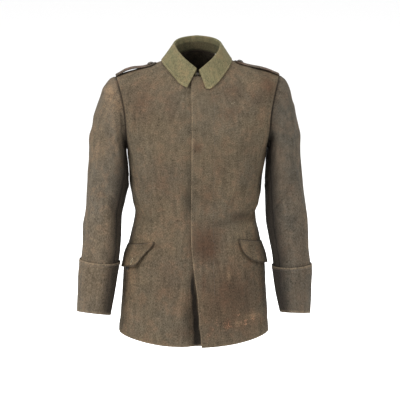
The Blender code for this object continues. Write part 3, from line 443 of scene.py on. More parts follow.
def fold_height(across, along, folds, places_across, places_along):
    """Sum of soft ridges and troughs: a bell across each fold, fading towards its ends. A crease that
    bends moves sideways with the square of the distance from its middle, and has a shallow twin of
    the other sign beside it."""
    height = np.zeros_like(across)
    bends = folds.get("bend", (0.0,) * len(folds["slant"]))
    twin = TWIN_SHARE if "bend" in folds else 0.0
    rows = zip(places_across, places_along, folds["slant"], folds["length"], folds["width"], folds["rise"],
               bends)
    for place_across, place_along, slant, length, width, rise, bend in rows:
        turn = math.radians(slant)
        offset_across = across - place_across
        offset_along = along - place_along
        lengthwise = offset_across * math.sin(turn) + offset_along * math.cos(turn)
        beside = offset_across * math.cos(turn) - offset_along * math.sin(turn) + bend * lengthwise ** 2
        section = bell(beside, width) - twin * bell(beside - TWIN_PLACE * width, TWIN_WIDTH * width)
        height = height + rise * section * np.exp(-(lengthwise / length) ** 4)
    return height


def slack_height(across, along):
    """Slow unevenness: the sum of the waves of the table, each a sine of the place across and along."""
    waves = CLOTH_WAVES
    rows = zip(waves["across"], waves["along"], waves["shift"], waves["height"])
    return sum(height * np.sin(2.0 * math.pi * (wave_across * across + wave_along * along + shift))
               for wave_across, wave_along, shift, height in rows)


def seam_height(distance):
    """The groove of a seam and the low ridge of its turned-in cloth, by distance from the seam."""
    ridge = RIDGE_RISE * bell(distance - RIDGE_PLACE, RIDGE_WIDTH)
    return ridge - GROOVE_DEPTH * bell(distance, GROOVE_WIDTH)


# The body's surface

def body_column(name, level):
    """One column of the body's rings at any level."""
    return eased_curve(level, BODY_RINGS["level"], BODY_RINGS[name])


def around_body(angle, level, folds):
    """Height of a table of folds on the body; those near centre back count from both sides."""
    places_along = np.asarray(folds["level"])
    total = np.zeros_like(angle)
    for turn in (-1, 0, 1):
        places_across = FOLD_RADIUS * (np.radians(folds["angle"]) + 2.0 * math.pi * turn)
        total = total + fold_height(FOLD_RADIUS * angle, level, folds, places_across, places_along)
    return total


def plain_body_point(angle, level):
    """A point of the body's surface as in the solids: a squared ellipse, deeper in front than behind,
    whose edge climbs to the sides, moved in and out by the largest folds. Only its sides reach the
    shoulder's tip."""
    angle = wrapped(np.asarray(angle, dtype=float))
    level = np.asarray(level, dtype=float) + np.zeros_like(angle)
    sideways = np.abs(np.sin(angle))
    forward = np.cos(angle)
    depth = np.where(forward > 0.0, body_column("to_front", level), body_column("to_back", level))
    power = body_column("squareness", level)
    near_side = sideways ** SIDE_LINE_POWER
    width = body_column("half_width", level)
    width = width + (eased_curve(level, SIDE_LINE["level"], SIDE_LINE["half_width"]) - width) * near_side
    reach = ((sideways / width) ** power + (np.abs(forward) / depth) ** power) ** (-1.0 / power)
    reach = reach + around_body(angle, level, BODY_FOLDS)
    side_height = body_column("side", level)
    side_line = eased_curve(level, SIDE_LINE["level"], SIDE_LINE["height"])
    side_height = side_height + (side_line - side_height) * near_side
    end_height = np.where(forward > 0.0, body_column("front", level), body_column("back", level))
    drop = 1.0 - sideways ** body_column("rise", level)
    height = side_height + (end_height - side_height) * drop
    return np.stack([body_column("lean", level) + reach * np.sin(angle),
                     -reach * forward,
                     height + np.zeros_like(reach)], axis=-1)


def body_normal_of(point_of, angle, level):
    """The outward direction of a surface of the body, from small steps round and up."""
    turn = NORMAL_STEP / FOLD_RADIUS
    around = point_of(angle + turn, level) - point_of(angle - turn, level)
    upward = point_of(angle, level + NORMAL_STEP) - point_of(angle, level - NORMAL_STEP)
    return unit(np.cross(around, upward))


def plain_body_normal(angle, level):
    """The outward direction of the body as in the solids."""
    return body_normal_of(plain_body_point, angle, level)


def armhole_distance(angle, level):
    """Distance on the cloth from the armhole seam, which is half an ellipse on each panel: how far
    outside the ellipse a place is, over the slope of that measure there."""
    turned = np.abs(wrapped(angle)) - math.pi / 2.0
    reach = np.radians(np.where(turned < 0.0, ARMHOLE_INTO_FRONT, ARMHOLE_INTO_BACK)) * FOLD_RADIUS
    across = turned * FOLD_RADIUS
    tall = (SHOULDER_LEVEL - ARMPIT_LEVEL) / 2.0
    along = level - (SHOULDER_LEVEL + ARMPIT_LEVEL) / 2.0
    size = np.sqrt((across / reach) ** 2 + (along / tall) ** 2)
    slope = np.sqrt((across / reach ** 2) ** 2 + (along / tall ** 2) ** 2) + 1e-6
    return (size - 1.0) * size / slope


def seam_distance(angle, level):
    """Distance from the nearest of armhole, side seam, shoulder seam and neck seam."""
    turned = np.abs(wrapped(angle))
    side = np.radians(eased_curve(np.clip(level, 0.0, ARMPIT_LEVEL), SIDE_SEAM["level"], SIDE_SEAM["angle"]))
    side_gap = np.where(level < ARMPIT_LEVEL, np.abs(turned - side), 1.0) * FOLD_RADIUS
    shoulder_gap = np.where(level > SHOULDER_LEVEL, np.abs(turned - math.pi / 2.0), 1.0) * FOLD_RADIUS
    neck_gap = np.abs(NECK_LEVEL - level)
    return np.minimum(np.minimum(np.abs(armhole_distance(angle, level)), side_gap),
                      np.minimum(shoulder_gap, neck_gap))


def body_detail(angle, level):
    """Fine height of the body's cloth: listed creases and slack, which fade at every seam, with the
    seams' grooves and the hem's turned-up band."""
    distance = seam_distance(angle, level)
    free = smooth_step(distance, 0.0, BODY_FREE_FROM_SEAM) * smooth_step(level, 0.0, BODY_FREE_FROM_HEM)
    near_back = smooth_step(math.pi - np.abs(wrapped(angle)), 0.0, BACK_FADE_TURN)
    slack = slack_height(FOLD_RADIUS * wrapped(angle), level) * near_back
    hem = HEM_RISE * (1.0 - smooth_step(level, *HEM_TURNING))
    creases = CREASE_DEPTH * around_body(wrapped(angle), level, BODY_CREASES)
    return (creases + slack) * free + seam_height(distance) + hem


def body_point(angle, level):
    """A point of the finished cloth: the plain surface moved out by its fine height."""
    detail = body_detail(angle, level)
    return plain_body_point(angle, level) + detail[..., None] * plain_body_normal(angle, level)


def body_normal(angle, level):
    """The outward direction of the finished cloth."""
    return body_normal_of(body_point, angle, level)


def edged(first, last, count, rounding):
    """Places from one edge to the other: even ones, and three close ones beside each edge, where the
    wall rounds off. The first axis is kept, and places run along the last one."""
    first, last, rounding = (np.atleast_1d(np.asarray(value, dtype=float))[:, None]
                             for value in (first, last, rounding))
    way = np.sign(last - first) * rounding
    near = np.asarray(EDGE_STEPS)
    even = first + way + (last - first - 2.0 * way) * np.linspace(0.0, 1.0, count + 1)
    return np.concatenate([first + way * near, even, last - way * near[::-1]], axis=1)


def edged_fullness(count):
    """Fullness of the wall for the places that edged gives: 0 at each edge and 1 inside."""
    return np.concatenate([EDGE_FULLNESS, np.ones(count + 1), EDGE_FULLNESS[::-1]])


def body_levels():
    """Rows of the body's panels: even on the skirt, round the armhole by equal turns, and above it
    closer together near the shoulder's tip, with close ones at the hem and at the neck."""
    rounding = CLOTH / 2.0
    skirt = np.linspace(rounding, ARMPIT_LEVEL, SKIRT_ROWS, endpoint=False)
    turn = np.linspace(0.0, math.pi, ARMHOLE_ROWS + 1)
    armhole = ARMPIT_LEVEL + (SHOULDER_LEVEL - ARMPIT_LEVEL) * (1.0 - np.cos(turn)) / 2.0
    share = np.linspace(0.0, 1.0, SHOULDER_ROWS + 1)[1:] ** SHOULDER_CROWDING
    shoulder = SHOULDER_LEVEL + (NECK_LEVEL - rounding - SHOULDER_LEVEL) * share
    near = rounding * np.asarray(EDGE_STEPS)
    levels = np.concatenate([near, skirt, armhole, shoulder, NECK_LEVEL - near[::-1]])
    inside = np.ones(len(levels) - 2 * len(near))
    return levels, np.concatenate([EDGE_FULLNESS, inside, EDGE_FULLNESS[::-1]])


def seam_angle(level, into_panel):
    """The side edge of a panel: side seam, then the armhole's curve, then the shoulder seam."""
    side = eased_curve(np.minimum(level, ARMPIT_LEVEL), SIDE_SEAM["level"], SIDE_SEAM["angle"])
    share = np.clip((level - ARMPIT_LEVEL) / (SHOULDER_LEVEL - ARMPIT_LEVEL), 0.0, 1.0)
    hollow = 2.0 * np.sqrt(share * (1.0 - share))
    return np.radians(np.where(level < ARMPIT_LEVEL, side, 90.0 + into_panel * hollow))


def half_gap_turn(level):
    """Half of the seam's gap, as a turn round the body."""
    return 0.5 * SEAM_GAP / np.minimum(body_column("half_width", level), FOLD_RADIUS)


def edge_turn(edge_x, level):
    """The angle at which the front's surface stands a given distance from its middle line."""
    return np.arctan2(edge_x - body_column("lean", level), body_column("to_front", level))


def left_front_lift(points, level):
    """How far the wearer's left front stands off: towards its free edge, low on the skirt."""
    near_edge = smooth_step(-points[..., 0], -FLY_STAND_OFF_X, -FLY_STAND_OFF_FULL_X)
    near_hem = smooth_step(-level, -FLY_STAND_OFF_TOP, 0.0)
    return FLY_STAND_OFF * near_edge * near_hem


def right_front_inset(points, level):
    """How far the wearer's right front lies inside, where it passes under the other front; low on the
    skirt its free edge falls in further."""
    inset = (CLOTH + LAYER_GAP) * smooth_step(points[..., 0], UNDER_INSET_START_X, UNDER_INSET_END_X)
    near_hem = smooth_step(-level, -FLY_STAND_OFF_TOP, 0.0)
    return inset + UNDER_TUCK * near_hem * smooth_step(points[..., 0], UNDER_TUCK_START_X, UNDER_TUCK_END_X)


# Pieces as meshes

def add_object(name, data):
    """A new object in the scene, at the origin."""
    made = bpy.data.objects.new(name, data)
    bpy.context.scene.collection.objects.link(made)
    return made


def add_mesh(name, points, faces, material):
    """A smooth mesh of one material."""
    mesh = bpy.data.meshes.new(name)
    mesh.from_pydata(np.reshape(points, (-1, 3)).tolist(), [], faces)
    mesh.materials.append(material)
    mesh.shade_smooth()
    return add_object(name, mesh)


def add_piece(name, points, faces, material):
    """A mesh that belongs to the tunic."""
    piece = add_mesh(name, points, faces, material)
    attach(piece, "root")
    return piece


def add_cloth(name, points, faces, corner_uv, marks, material):
    """A piece of cloth, with its cloth map and its marks for the material."""
    piece = add_piece(name, points, faces.tolist(), material)
    layer = piece.data.uv_layers.new(name="cloth")
    layer.data.foreach_set("uv", corner_uv.astype(np.float32).ravel())
    for mark, values in marks.items():
        attribute = piece.data.attributes.new(mark, "FLOAT", "POINT")
        attribute.data.foreach_set("value", np.asarray(values, dtype=np.float32))
    return piece


def wall(name, outer, normals, fullness, cloth_map, marks, material, thickness=CLOTH, closed=False):
    """A wall of cloth between two grids of points, which lie half a thickness to each side of a middle
    sheet where it is full, and meet on it where fullness is 0, so that free edges round off."""
    rows, columns = outer.shape[:2]
    middle = outer - 0.5 * thickness * normals
    offset = 0.5 * thickness * fullness[..., None] * normals
    points = np.concatenate([(middle + offset).reshape(-1, 3), (middle - offset).reshape(-1, 3)])
    out = np.arange(rows * columns).reshape(rows, columns)
    within = np.where(fullness > 0.0, out + rows * columns, out)
    used, index = np.unique(np.concatenate([out.ravel(), within.ravel()]), return_inverse=True)
    out, within = index.reshape(2, rows, columns)
    if closed:
        out, within = (np.concatenate([grid, grid[:, :1]], axis=1) for grid in (out, within))
    sheet_map = np.broadcast_to(cloth_map, (*out.shape, 2))
    facing = np.cross(outer[:-1, 1:] - outer[:-1, :-1], outer[1:, :-1] - outer[:-1, :-1])
    if np.sum(facing * normals[:-1, :-1]) < 0:
        out, within, sheet_map = out[:, ::-1], within[:, ::-1], sheet_map[:, ::-1]
    faces = np.concatenate([corners(out), corners(within)[:, ::-1]])
    corner_uv = np.concatenate([corners(sheet_map), corners(sheet_map)[:, ::-1]])
    both = {mark: np.concatenate([values.ravel(), values.ravel()])[used] for mark, values in marks.items()}
    inside = used >= rows * columns
    # Every inner sheet, and what a piece marks as inside, is darkened as painted shade
    both["inside"] = np.maximum(inside, both.get("inside", 0.0))
    for mark, values in painted(points[used]).items():
        both[mark] = np.where(inside, 0.0, np.maximum(values, both.get(mark, 0.0)))
    return add_cloth(name, points[used], faces, corner_uv, both, material)


def corners(grid):
    """The four corners of every cell of a grid, in turn."""
    four = np.stack([grid[:-1, :-1], grid[:-1, 1:], grid[1:, 1:], grid[1:, :-1]], axis=2)
    return four.reshape(-1, 4, *grid.shape[2:])


def edge_mark(distance, reach):
    """1 at an edge or a seam, falling to 0 at a distance."""
    return 1.0 - smooth_step(distance, 0.0, reach)


# Fronts and back

def body_marks(angle, level, free_distance):
    """Marks of a body panel: nearness of seams and of free edges."""
    hem_distance = np.minimum(level, free_distance)
    return {"seam": edge_mark(seam_distance(angle, level), SEAM_REACH["body"]),
            "edge": edge_mark(hem_distance, EDGE_REACH["body"])}


def fly_waver(level):
    """How far the fly's inner seam strays sideways: a slow sine up the front."""
    return FLY_WAVER * np.sin(2.0 * math.pi * level / FLY_WAVER_LENGTH)


def fly_detail(points, level):
    """The hidden fly: a doubled band along the free edge, and the pressed line of its inner seam."""
    start, full, fading, end = FLY_LINE_LEVELS
    shown = smooth_step(level, start, full) * (1.0 - smooth_step(level, fading, end))
    beside = points[..., 0] - FLY_LINE_X - fly_waver(level)
    band = FLY_RISE * (1.0 - smooth_step(beside, *FLY_BAND_ENDS))
    return band - FLY_LINE_DEPTH * bell(beside, FLY_LINE_WIDTH) * shown


def front_left_surface(angle, level):
    """Points and normals of the wearer's left front."""
    points = body_point(angle, level)
    normals = body_normal(angle, level)
    lift = left_front_lift(points, level) + fly_detail(points, level)
    outer = points + lift[..., None] * normals
    return outer, normals


def make_fronts(material):
    """The two fronts, from side seam, armhole and shoulder seam to their front edges."""
    levels, row_fullness = body_levels()
    rounding = CLOTH / 2.0 / FOLD_RADIUS
    side_edge = seam_angle(levels, -ARMHOLE_INTO_FRONT) - half_gap_turn(levels)
    fly_x = eased_curve(levels, FLY_EDGE["level"], FLY_EDGE["x"])
    fullness = np.minimum(row_fullness[:, None], edged_fullness(FRONT_COLUMNS)[None, :])

    angle = edged(edge_turn(fly_x, levels), side_edge, FRONT_COLUMNS, rounding)
    level = np.repeat(levels[:, None], angle.shape[1], axis=1)
    outer, normals = front_left_surface(angle, level)
    fly_distance = (angle - angle[:, :1]) * FOLD_RADIUS
    left = wall("left_front_cloth", outer, normals, fullness, body_map(angle, level),
                body_marks(angle, level, fly_distance), material)

    angle = edged(-side_edge, edge_turn(UNDER_EDGE_X, levels), FRONT_COLUMNS, rounding)
    points = body_point(angle, level)
    normals = body_normal(angle, level)
    outer = points - right_front_inset(points, level)[..., None] * normals
    right = wall("right_front_cloth", outer, normals, fullness, body_map(angle, level),
                 body_marks(angle, level, (angle[:, -1:] - angle) * FOLD_RADIUS), material)
    return left, right


def body_map(angle, level):
    """The cloth's own map on the body, in metres round and up."""
    return np.stack([FOLD_RADIUS * wrapped(angle - math.pi) + math.pi * FOLD_RADIUS, level], axis=-1)


def make_back(material):
    """The whole back, from one side seam, armhole and shoulder seam to the other."""
    levels, row_fullness = body_levels()
    edge = seam_angle(levels, ARMHOLE_INTO_BACK) + half_gap_turn(levels)
    angle = edged(edge, 2.0 * math.pi - edge, BACK_COLUMNS, CLOTH / 2.0 / FOLD_RADIUS)
    level = np.repeat(levels[:, None], angle.shape[1], axis=1)
    fullness = np.minimum(row_fullness[:, None], edged_fullness(BACK_COLUMNS)[None, :])
    cloth_map = np.stack([FOLD_RADIUS * angle, level], axis=-1)
    return wall("back_cloth", body_point(angle, level), body_normal(angle, level), fullness, cloth_map,
                body_marks(angle, level, np.full_like(angle, 1.0)), material)


# Sleeves and cuffs

def armhole_place(around, gap):
    """Angle and level of the sleeve's edge round the armhole, a gap inside the panels' own edge."""
    level = ARMPIT_LEVEL + (SHOULDER_LEVEL - ARMPIT_LEVEL) * (1.0 + np.cos(around)) / 2.0
    inward = np.where(np.sin(around) > 0.0, -ARMHOLE_INTO_FRONT, ARMHOLE_INTO_BACK)
    angle = np.radians(90.0 + inward * np.abs(np.sin(around)))
    angle = angle + gap * np.sin(around) / FOLD_RADIUS
    return angle, level - gap * np.cos(around)


def mirrored(points, side):
    """Points made for the wearer's left side, moved to the other side where that is asked for."""
    flip = np.array([1.0 if side == "left" else -1.0, 1.0, 1.0])
    return points * flip


def side_angle(angle, side):
    """An angle given for the wearer's left side, on the side that is asked for."""
    return angle if side == "left" else -angle


def sleeve_folds(around, along, folds, shift=0.0):
    """Height of a table of folds on a sleeve, placed in degrees around and shares along."""
    arc = SLEEVE_RADIUS * wrapped(around)
    return fold_height(arc, SLEEVE_LENGTH * along, folds,
                       SLEEVE_RADIUS * np.radians(folds["around"]),
                       SLEEVE_LENGTH * (np.asarray(folds["along"]) + shift))


def armhole_correction(around, side):
    """What turns the sleeve's first plain ring into the armhole's own edge."""
    rings = SLEEVE_RINGS[side]
    top = np.array([rings["out_x"][0], 0.0, rings["out_z"][0]])
    bottom = np.array([rings["in_x"][0], 0.0, rings["in_z"][0]])
    spoke = (top - bottom) / 2.0 * np.cos(around)[..., None]
    depth = np.array([0.0, -SLEEVE_DEPTH["half"][0], 0.0]) * np.sin(around)[..., None]
    plain = mirrored((top + bottom) / 2.0 + spoke + depth, side)
    angle, level = armhole_place(around, SEAM_GAP)
    return plain_body_point(side_angle(angle, side), level) - plain


def plain_sleeve_point(around, along, side):
    """A point of a sleeve as in the solids: an ellipse between its outer and inner line, which takes
    the armhole's true shape at its start, moved in and out by the largest folds."""
    rings = SLEEVE_RINGS[side]
    stops = rings["along"]
    outer = np.stack([eased_curve(along, stops, rings["out_x"]), eased_curve(along, stops, rings["out_z"])])
    inner = np.stack([eased_curve(along, stops, rings["in_x"]), eased_curve(along, stops, rings["in_z"])])
    middle = (outer + inner) / 2.0
    half = (outer - inner) / 2.0
    depth = eased_curve(along, SLEEVE_DEPTH["along"], SLEEVE_DEPTH["half"])
    forward = eased_curve(along, SLEEVE_DEPTH["along"], SLEEVE_DEPTH["forward"])
    centre = np.stack([middle[0], -forward, middle[1]], axis=-1)
    tilt = SLEEVE_END_TILT * smooth_step(along, SLEEVE_TILT_START, 1.0) * np.sin(around)
    spoke = np.stack([half[0] * np.cos(around), -depth * np.sin(around), half[1] * np.cos(around) + tilt],
                     axis=-1)
    folds = sleeve_folds(around, along, SLEEVE_FOLDS)
    plain = mirrored(centre + spoke + folds[..., None] * unit(spoke), side)
    from_armhole = 1.0 - smooth_step(along, 0.0, ARMHOLE_SHAPE_ENDS)
    return plain + armhole_correction(around, side) * from_armhole[..., None]


def sleeve_normal_of(point_of, around, along, side):
    """The outward direction of a sleeve's surface, which is the body's own at the armhole."""
    turn = NORMAL_STEP / SLEEVE_RADIUS
    step = NORMAL_STEP / SLEEVE_LENGTH
    first = np.maximum(along - step, 0.0)
    round_way = point_of(around + turn, along, side) - point_of(around - turn, along, side)
    long_way = point_of(around, along + step, side) - point_of(around, first, side)
    own = unit(np.cross(round_way, long_way)) * (1.0 if side == "left" else -1.0)
    angle, level = armhole_place(around, 0.0)
    at_armhole = plain_body_normal(side_angle(angle, side), level)
    share = smooth_step(along, 0.0, ARMHOLE_NORMAL_ENDS)[..., None]
    return unit(at_armhole * (1.0 - share) + own * share)


def sleeve_seam_distance(around, along):
    """Distance from the nearest of the sleeve's two seams and its armhole seam."""
    hind = np.abs(wrapped(around - HIND_SEAM)) * SLEEVE_RADIUS
    fore = np.abs(wrapped(around - FORE_SEAM)) * SLEEVE_RADIUS
    return np.minimum(np.minimum(hind, fore), along * SLEEVE_LENGTH)


def sleeve_detail(around, along, side):
    """Fine height of a sleeve's cloth: creases and slack, which fade at its seams, and the seams'
    grooves. The two sleeves have the same creases at slightly other places."""
    distance = sleeve_seam_distance(around, along)
    free = smooth_step(distance, 0.0, SLEEVE_FREE_FROM_SEAM) * (1.0 - smooth_step(along, *SLEEVE_FREE_ENDS))
    creases = CREASE_DEPTH * sleeve_folds(around, along, SLEEVE_CREASES, SLEEVE_CREASE_SHIFT[side])
    slack = slack_height(SLEEVE_RADIUS * around + SLEEVE_SLACK_SHIFT[side], SLEEVE_LENGTH * along)
    slack = slack * smooth_step(math.pi - np.abs(wrapped(around)), 0.0, UNDERARM_FADE_TURN)
    return (creases + slack) * free + seam_height(distance)


def sleeve_point(around, along, side):
    """A point of the sleeve's finished cloth: the plain sleeve moved out by its fine height."""
    detail = sleeve_detail(around, along, side)
    plain = plain_sleeve_point(around, along, side)
    return plain + detail[..., None] * sleeve_normal_of(plain_sleeve_point, around, along, side)


def sleeve_normal(around, along, side):
    """The outward direction of the sleeve's finished cloth."""
    return sleeve_normal_of(sleeve_point, around, along, side)


def sleeve_alongs():
    """Rows of a sleeve: even ones, with close ones at the armhole and at the free end."""
    return edged(0.0, 1.0, SLEEVE_ROWS, CLOTH / 2.0 / SLEEVE_LENGTH)[0]


def make_sleeve(side, material):
    """The upper sleeve, outside and in front, and the under sleeve, next to the body."""
    pieces = (
        ("upper", HIND_SEAM, FORE_SEAM, UPPER_SLEEVE_COLUMNS),
        ("under", FORE_SEAM, HIND_SEAM + 2.0 * math.pi, UNDER_SLEEVE_COLUMNS),
    )
    made = []
    for name, first, last, columns in pieces:
        half_gap = SLEEVE_SEAM_TURN / 2.0
        turns = edged(first + half_gap, last - half_gap, columns, CLOTH / 2.0 / SLEEVE_RADIUS)[0]
        around, along = np.meshgrid(turns, sleeve_alongs())
        fullness = np.minimum(edged_fullness(SLEEVE_ROWS)[:, None], edged_fullness(columns)[None, :])
        marks = {
            "seam": edge_mark(sleeve_seam_distance(around, along), SEAM_REACH["sleeve"]),
            "edge": edge_mark((1.0 - along) * SLEEVE_LENGTH, EDGE_REACH["body"]),
            # The side towards the body is darkened as painted shade
            "grime_and_shade": inner_side_shade(around),
        }
        cloth_map = np.stack([SLEEVE_RADIUS * around + MAP_START["sleeve"], -SLEEVE_LENGTH * along], axis=-1)
        made.append(wall(f"{name}_sleeve_cloth_{side}", sleeve_point(around, along, side),
                         sleeve_normal(around, along, side), fullness, cloth_map, marks, material))
    return made


def inner_side_shade(around):
    """Painted shade on the side of a sleeve or cuff that faces the body."""
    return INNER_SIDE_SHADE * smooth_step(-np.cos(around), *INNER_SIDE_SHADE_FROM)


def cuff_surface(around, along, side):
    """Points and normals of the turned-back cuff: off the sleeve by a layer, a little looser at its
    top, with a soft roll along the top edge and a few dents of its own."""
    normals = sleeve_normal_of(plain_sleeve_point, around, along, side)
    loose = CUFF_STAND_OFF * (1.0 - smooth_step(along, CUFF_START[side], 1.0))
    dents = CUFF_DENTS["share"] * slack_height(SLEEVE_RADIUS * around + CUFF_DENTS["shift"],
                                               CUFF_DENTS["stretch"] * SLEEVE_LENGTH * along)
    dents = (dents + CUFF_DENTS["rise"]) * smooth_step(math.pi - np.abs(wrapped(around)), 0.0,
                                                       UNDERARM_FADE_TURN)
    from_end = (along - CUFF_START[side]) * SLEEVE_LENGTH
    roll = CUFF_ROLL["rise"] * bell(from_end - CUFF_ROLL["place"], CUFF_ROLL["width"])
    stand_off = LAYER_GAP + CLOTH + loose + np.maximum(dents, CUFF_DENTS["deepest"]) + roll
    return plain_sleeve_point(around, along, side) + stand_off[..., None] * normals, normals


def make_cuff(side, material):
    """The turned-back cuff, a ring of cloth round the end of the sleeve."""
    turns = np.arange(CUFF_COLUMNS) * 2.0 * math.pi / CUFF_COLUMNS
    rows = edged(CUFF_START[side], 1.0, CUFF_ROWS, CLOTH / 2.0 / SLEEVE_LENGTH)[0]
    around, along = np.meshgrid(turns, rows)
    outer, normals = cuff_surface(around, along, side)
    fullness = np.repeat(edged_fullness(CUFF_ROWS)[:, None], CUFF_COLUMNS, axis=1)
    ends = np.minimum(along - CUFF_START[side], 1.0 - along) * SLEEVE_LENGTH
    seam = np.abs(wrapped(around - HIND_SEAM)) * SLEEVE_RADIUS
    marks = {
        "seam": edge_mark(seam, SEAM_REACH["cuff"]),
        "edge": edge_mark(ends, EDGE_REACH["body"]),
        # The side towards the body is darkened as painted shade
        "grime_and_shade": inner_side_shade(around),
    }
    map_turns = np.append(turns, 2.0 * math.pi)
    across, up = np.meshgrid(map_turns, rows)
    cloth_map = np.stack([SLEEVE_RADIUS * across + MAP_START["cuff"], SLEEVE_LENGTH * up], axis=-1)
    return wall("turned_back_cuff_" + side, outer, normals, fullness, cloth_map, marks, material, closed=True)


# Collar

def crowded_shares(count):
    """Even shares that crowd towards both ends."""
    share = edged(0.0, 1.0, count, CLOTH / 2.0 / COLLAR_LENGTH)[0]
    return share - COLLAR_CROWDING * np.sin(2.0 * math.pi * share) / (2.0 * math.pi)


def leaf_edge(shares):
    """The free edge of the collar, lying on the body a little way off its surface."""
    first = -math.radians(LEAF_END_ANGLE["right"])
    last = math.radians(LEAF_END_ANGLE["left"]) - 2.0 * math.pi
    angle = first + (last - first) * shares
    turned = np.degrees(np.abs(wrapped(angle)))
    right = eased_curve(turned, LEAF_LEVEL["angle"], LEAF_LEVEL["right"])
    left = eased_curve(turned, LEAF_LEVEL["angle"], LEAF_LEVEL["left"])
    level = np.where(wrapped(angle) < 0.0, right, left)
    return plain_body_point(angle, level) + LEAF_STAND_OFF * plain_body_normal(angle, level)


def make_collar(material):
    """The collar: a stand that rises from the neckline, a round fold, and the leaf that falls over,
    fuller between its fold and its edge, with its front corners cut or rounded."""
    shares = crowded_shares(COLLAR_COLUMNS)
    start = math.radians(COLLAR_CENTRE_TURN - COLLAR_END)
    end = math.radians(COLLAR_CENTRE_TURN + COLLAR_END) - 2.0 * math.pi
    angles = start + (end - start) * shares
    turned = np.degrees(np.abs(wrapped(angles)))
    spoke = np.stack([np.sin(angles), -np.cos(angles), np.zeros_like(angles)], axis=-1)
    up = np.array([0.0, 0.0, 1.0])
    neck = plain_body_point(angles, np.full_like(angles, NECK_LEVEL))
    base = neck + COLLAR_BASE_GAP * up - CLOTH * spoke
    fold_centre = (eased_curve(turned, COLLAR_FOLD["angle"], COLLAR_FOLD["reach"])[:, None] * spoke
                   + (eased_curve(turned, COLLAR_FOLD["angle"], COLLAR_FOLD["z"])
                      - COLLAR_FOLD_RADIUS)[:, None] * up)
    edge = leaf_edge(shares)
    falling = unit(edge - fold_centre)
    facing_out = unit(np.cross(unit(np.gradient(edge, axis=0)), falling))
    facing_out = facing_out * np.sign(np.sum(facing_out * (spoke + up), axis=-1))[:, None]
    stand_out = unit(np.cross(np.cross(fold_centre - base, spoke), fold_centre - base))
    rows, normals = [], []
    stand_shares = edged(0.0, 1.0, COLLAR_STAND_ROWS, CLOTH / 2.0 / COLLAR_STAND_HEIGHT)[0]
    stand_shares = stand_shares[:-len(EDGE_STEPS)]
    for share in stand_shares:
        into_wall = unit(spoke * (1.0 - share) + stand_out * share)
        rows.append(base + (fold_centre - COLLAR_FOLD_RADIUS * stand_out - base) * share)
        normals.append(-into_wall)
    for share in np.linspace(0.0, 1.0, COLLAR_FOLD_ROWS + 2)[1:-1]:
        turn = math.pi * share
        direction = unit(-math.cos(turn) * (stand_out * (1.0 - share) + facing_out * share)
                         + math.sin(turn) * up)
        rows.append(fold_centre + COLLAR_FOLD_RADIUS * direction)
        normals.append(direction)
    fall_start = fold_centre + COLLAR_FOLD_RADIUS * facing_out
    fall_shares = edged(0.0, 1.0, COLLAR_FALL_ROWS, CLOTH / 2.0 / COLLAR_LEAF_DEPTH)[0][len(EDGE_STEPS):]
    for share in fall_shares:
        rows.append(fall_start + (edge - fall_start) * share)
        normals.append(facing_out)
    inner_rows = np.ones(len(rows) - 2 * len(EDGE_STEPS))
    row_fullness = np.concatenate([EDGE_FULLNESS, inner_rows, EDGE_FULLNESS[::-1]])
    fullness = np.minimum(row_fullness[:, None], edged_fullness(COLLAR_COLUMNS)[None, :])
    outer, normals = np.stack(rows), np.stack(normals)
    down = path_lengths(outer[:, COLLAR_COLUMNS // 2])
    along = path_lengths(edge)
    across, below = np.meshgrid(along, down)
    cloth_map = np.stack([across + MAP_START["collar"], below], axis=-1)
    from_ends = np.minimum(across, along[-1] - across)
    marks = {
        "seam": edge_mark(below, SEAM_REACH["sleeve"]),
        "edge": edge_mark(np.minimum(from_ends, down[-1] - below), EDGE_REACH["collar"]),
        # The stand's face towards the neck is darkened as painted shade
        "inside": edge_mark(below - down[COLLAR_STAND_ROWS], COLLAR_INSIDE_SHADE_REACH),
    }
    lower = len(rows) - COLLAR_STITCH_ROWS_IN
    first, last = COLLAR_STITCH_COLUMNS_IN, outer.shape[1] - COLLAR_STITCH_COLUMNS_IN
    fall = slice(COLLAR_STAND_ROWS + COLLAR_FOLD_ROWS + 5, lower + 1)
    seams = [(outer[lower, first:last], normals[lower, first:last]),
             (outer[fall, first], normals[fall, first]),
             (outer[fall, last - 1], normals[fall, last - 1])]
    return wall("collar_cloth", outer, normals, fullness, cloth_map, marks, material), seams


# Pocket flaps

def flap_surface(share, down, side):
    """Points and normals of a flap's outer face: the front's cloth, moved out more towards the free
    edge, which curls a little back in at its very end."""
    size = FLAP[side]
    angle = np.radians(size["front_angle"] + (size["rear_angle"] - size["front_angle"]) * share)
    seam = size["front_level"] + (size["rear_level"] - size["front_level"]) * share
    depth = eased_curve(share, size["share"], size["depth"])
    level = seam - depth * down
    stand_off = FLAP_STAND_OFF * (depth / max(size["depth"])) * np.maximum(down, 0.0) ** FLAP_STAND_OFF_POWER
    stand_off = stand_off * (1.0 - FLAP_REAR_SETTLE * smooth_step(share, FLAP_REAR_START, 1.0))
    lift = LAYER_GAP + CLOTH + stand_off + FLAP_SEAM_RISE
    angle = side_angle(angle, side)
    normals = body_normal(angle, level)
    base = body_point(angle, level)
    if side == "left":
        lift = lift + left_front_lift(base, level)
    return base + lift[..., None] * normals, normals


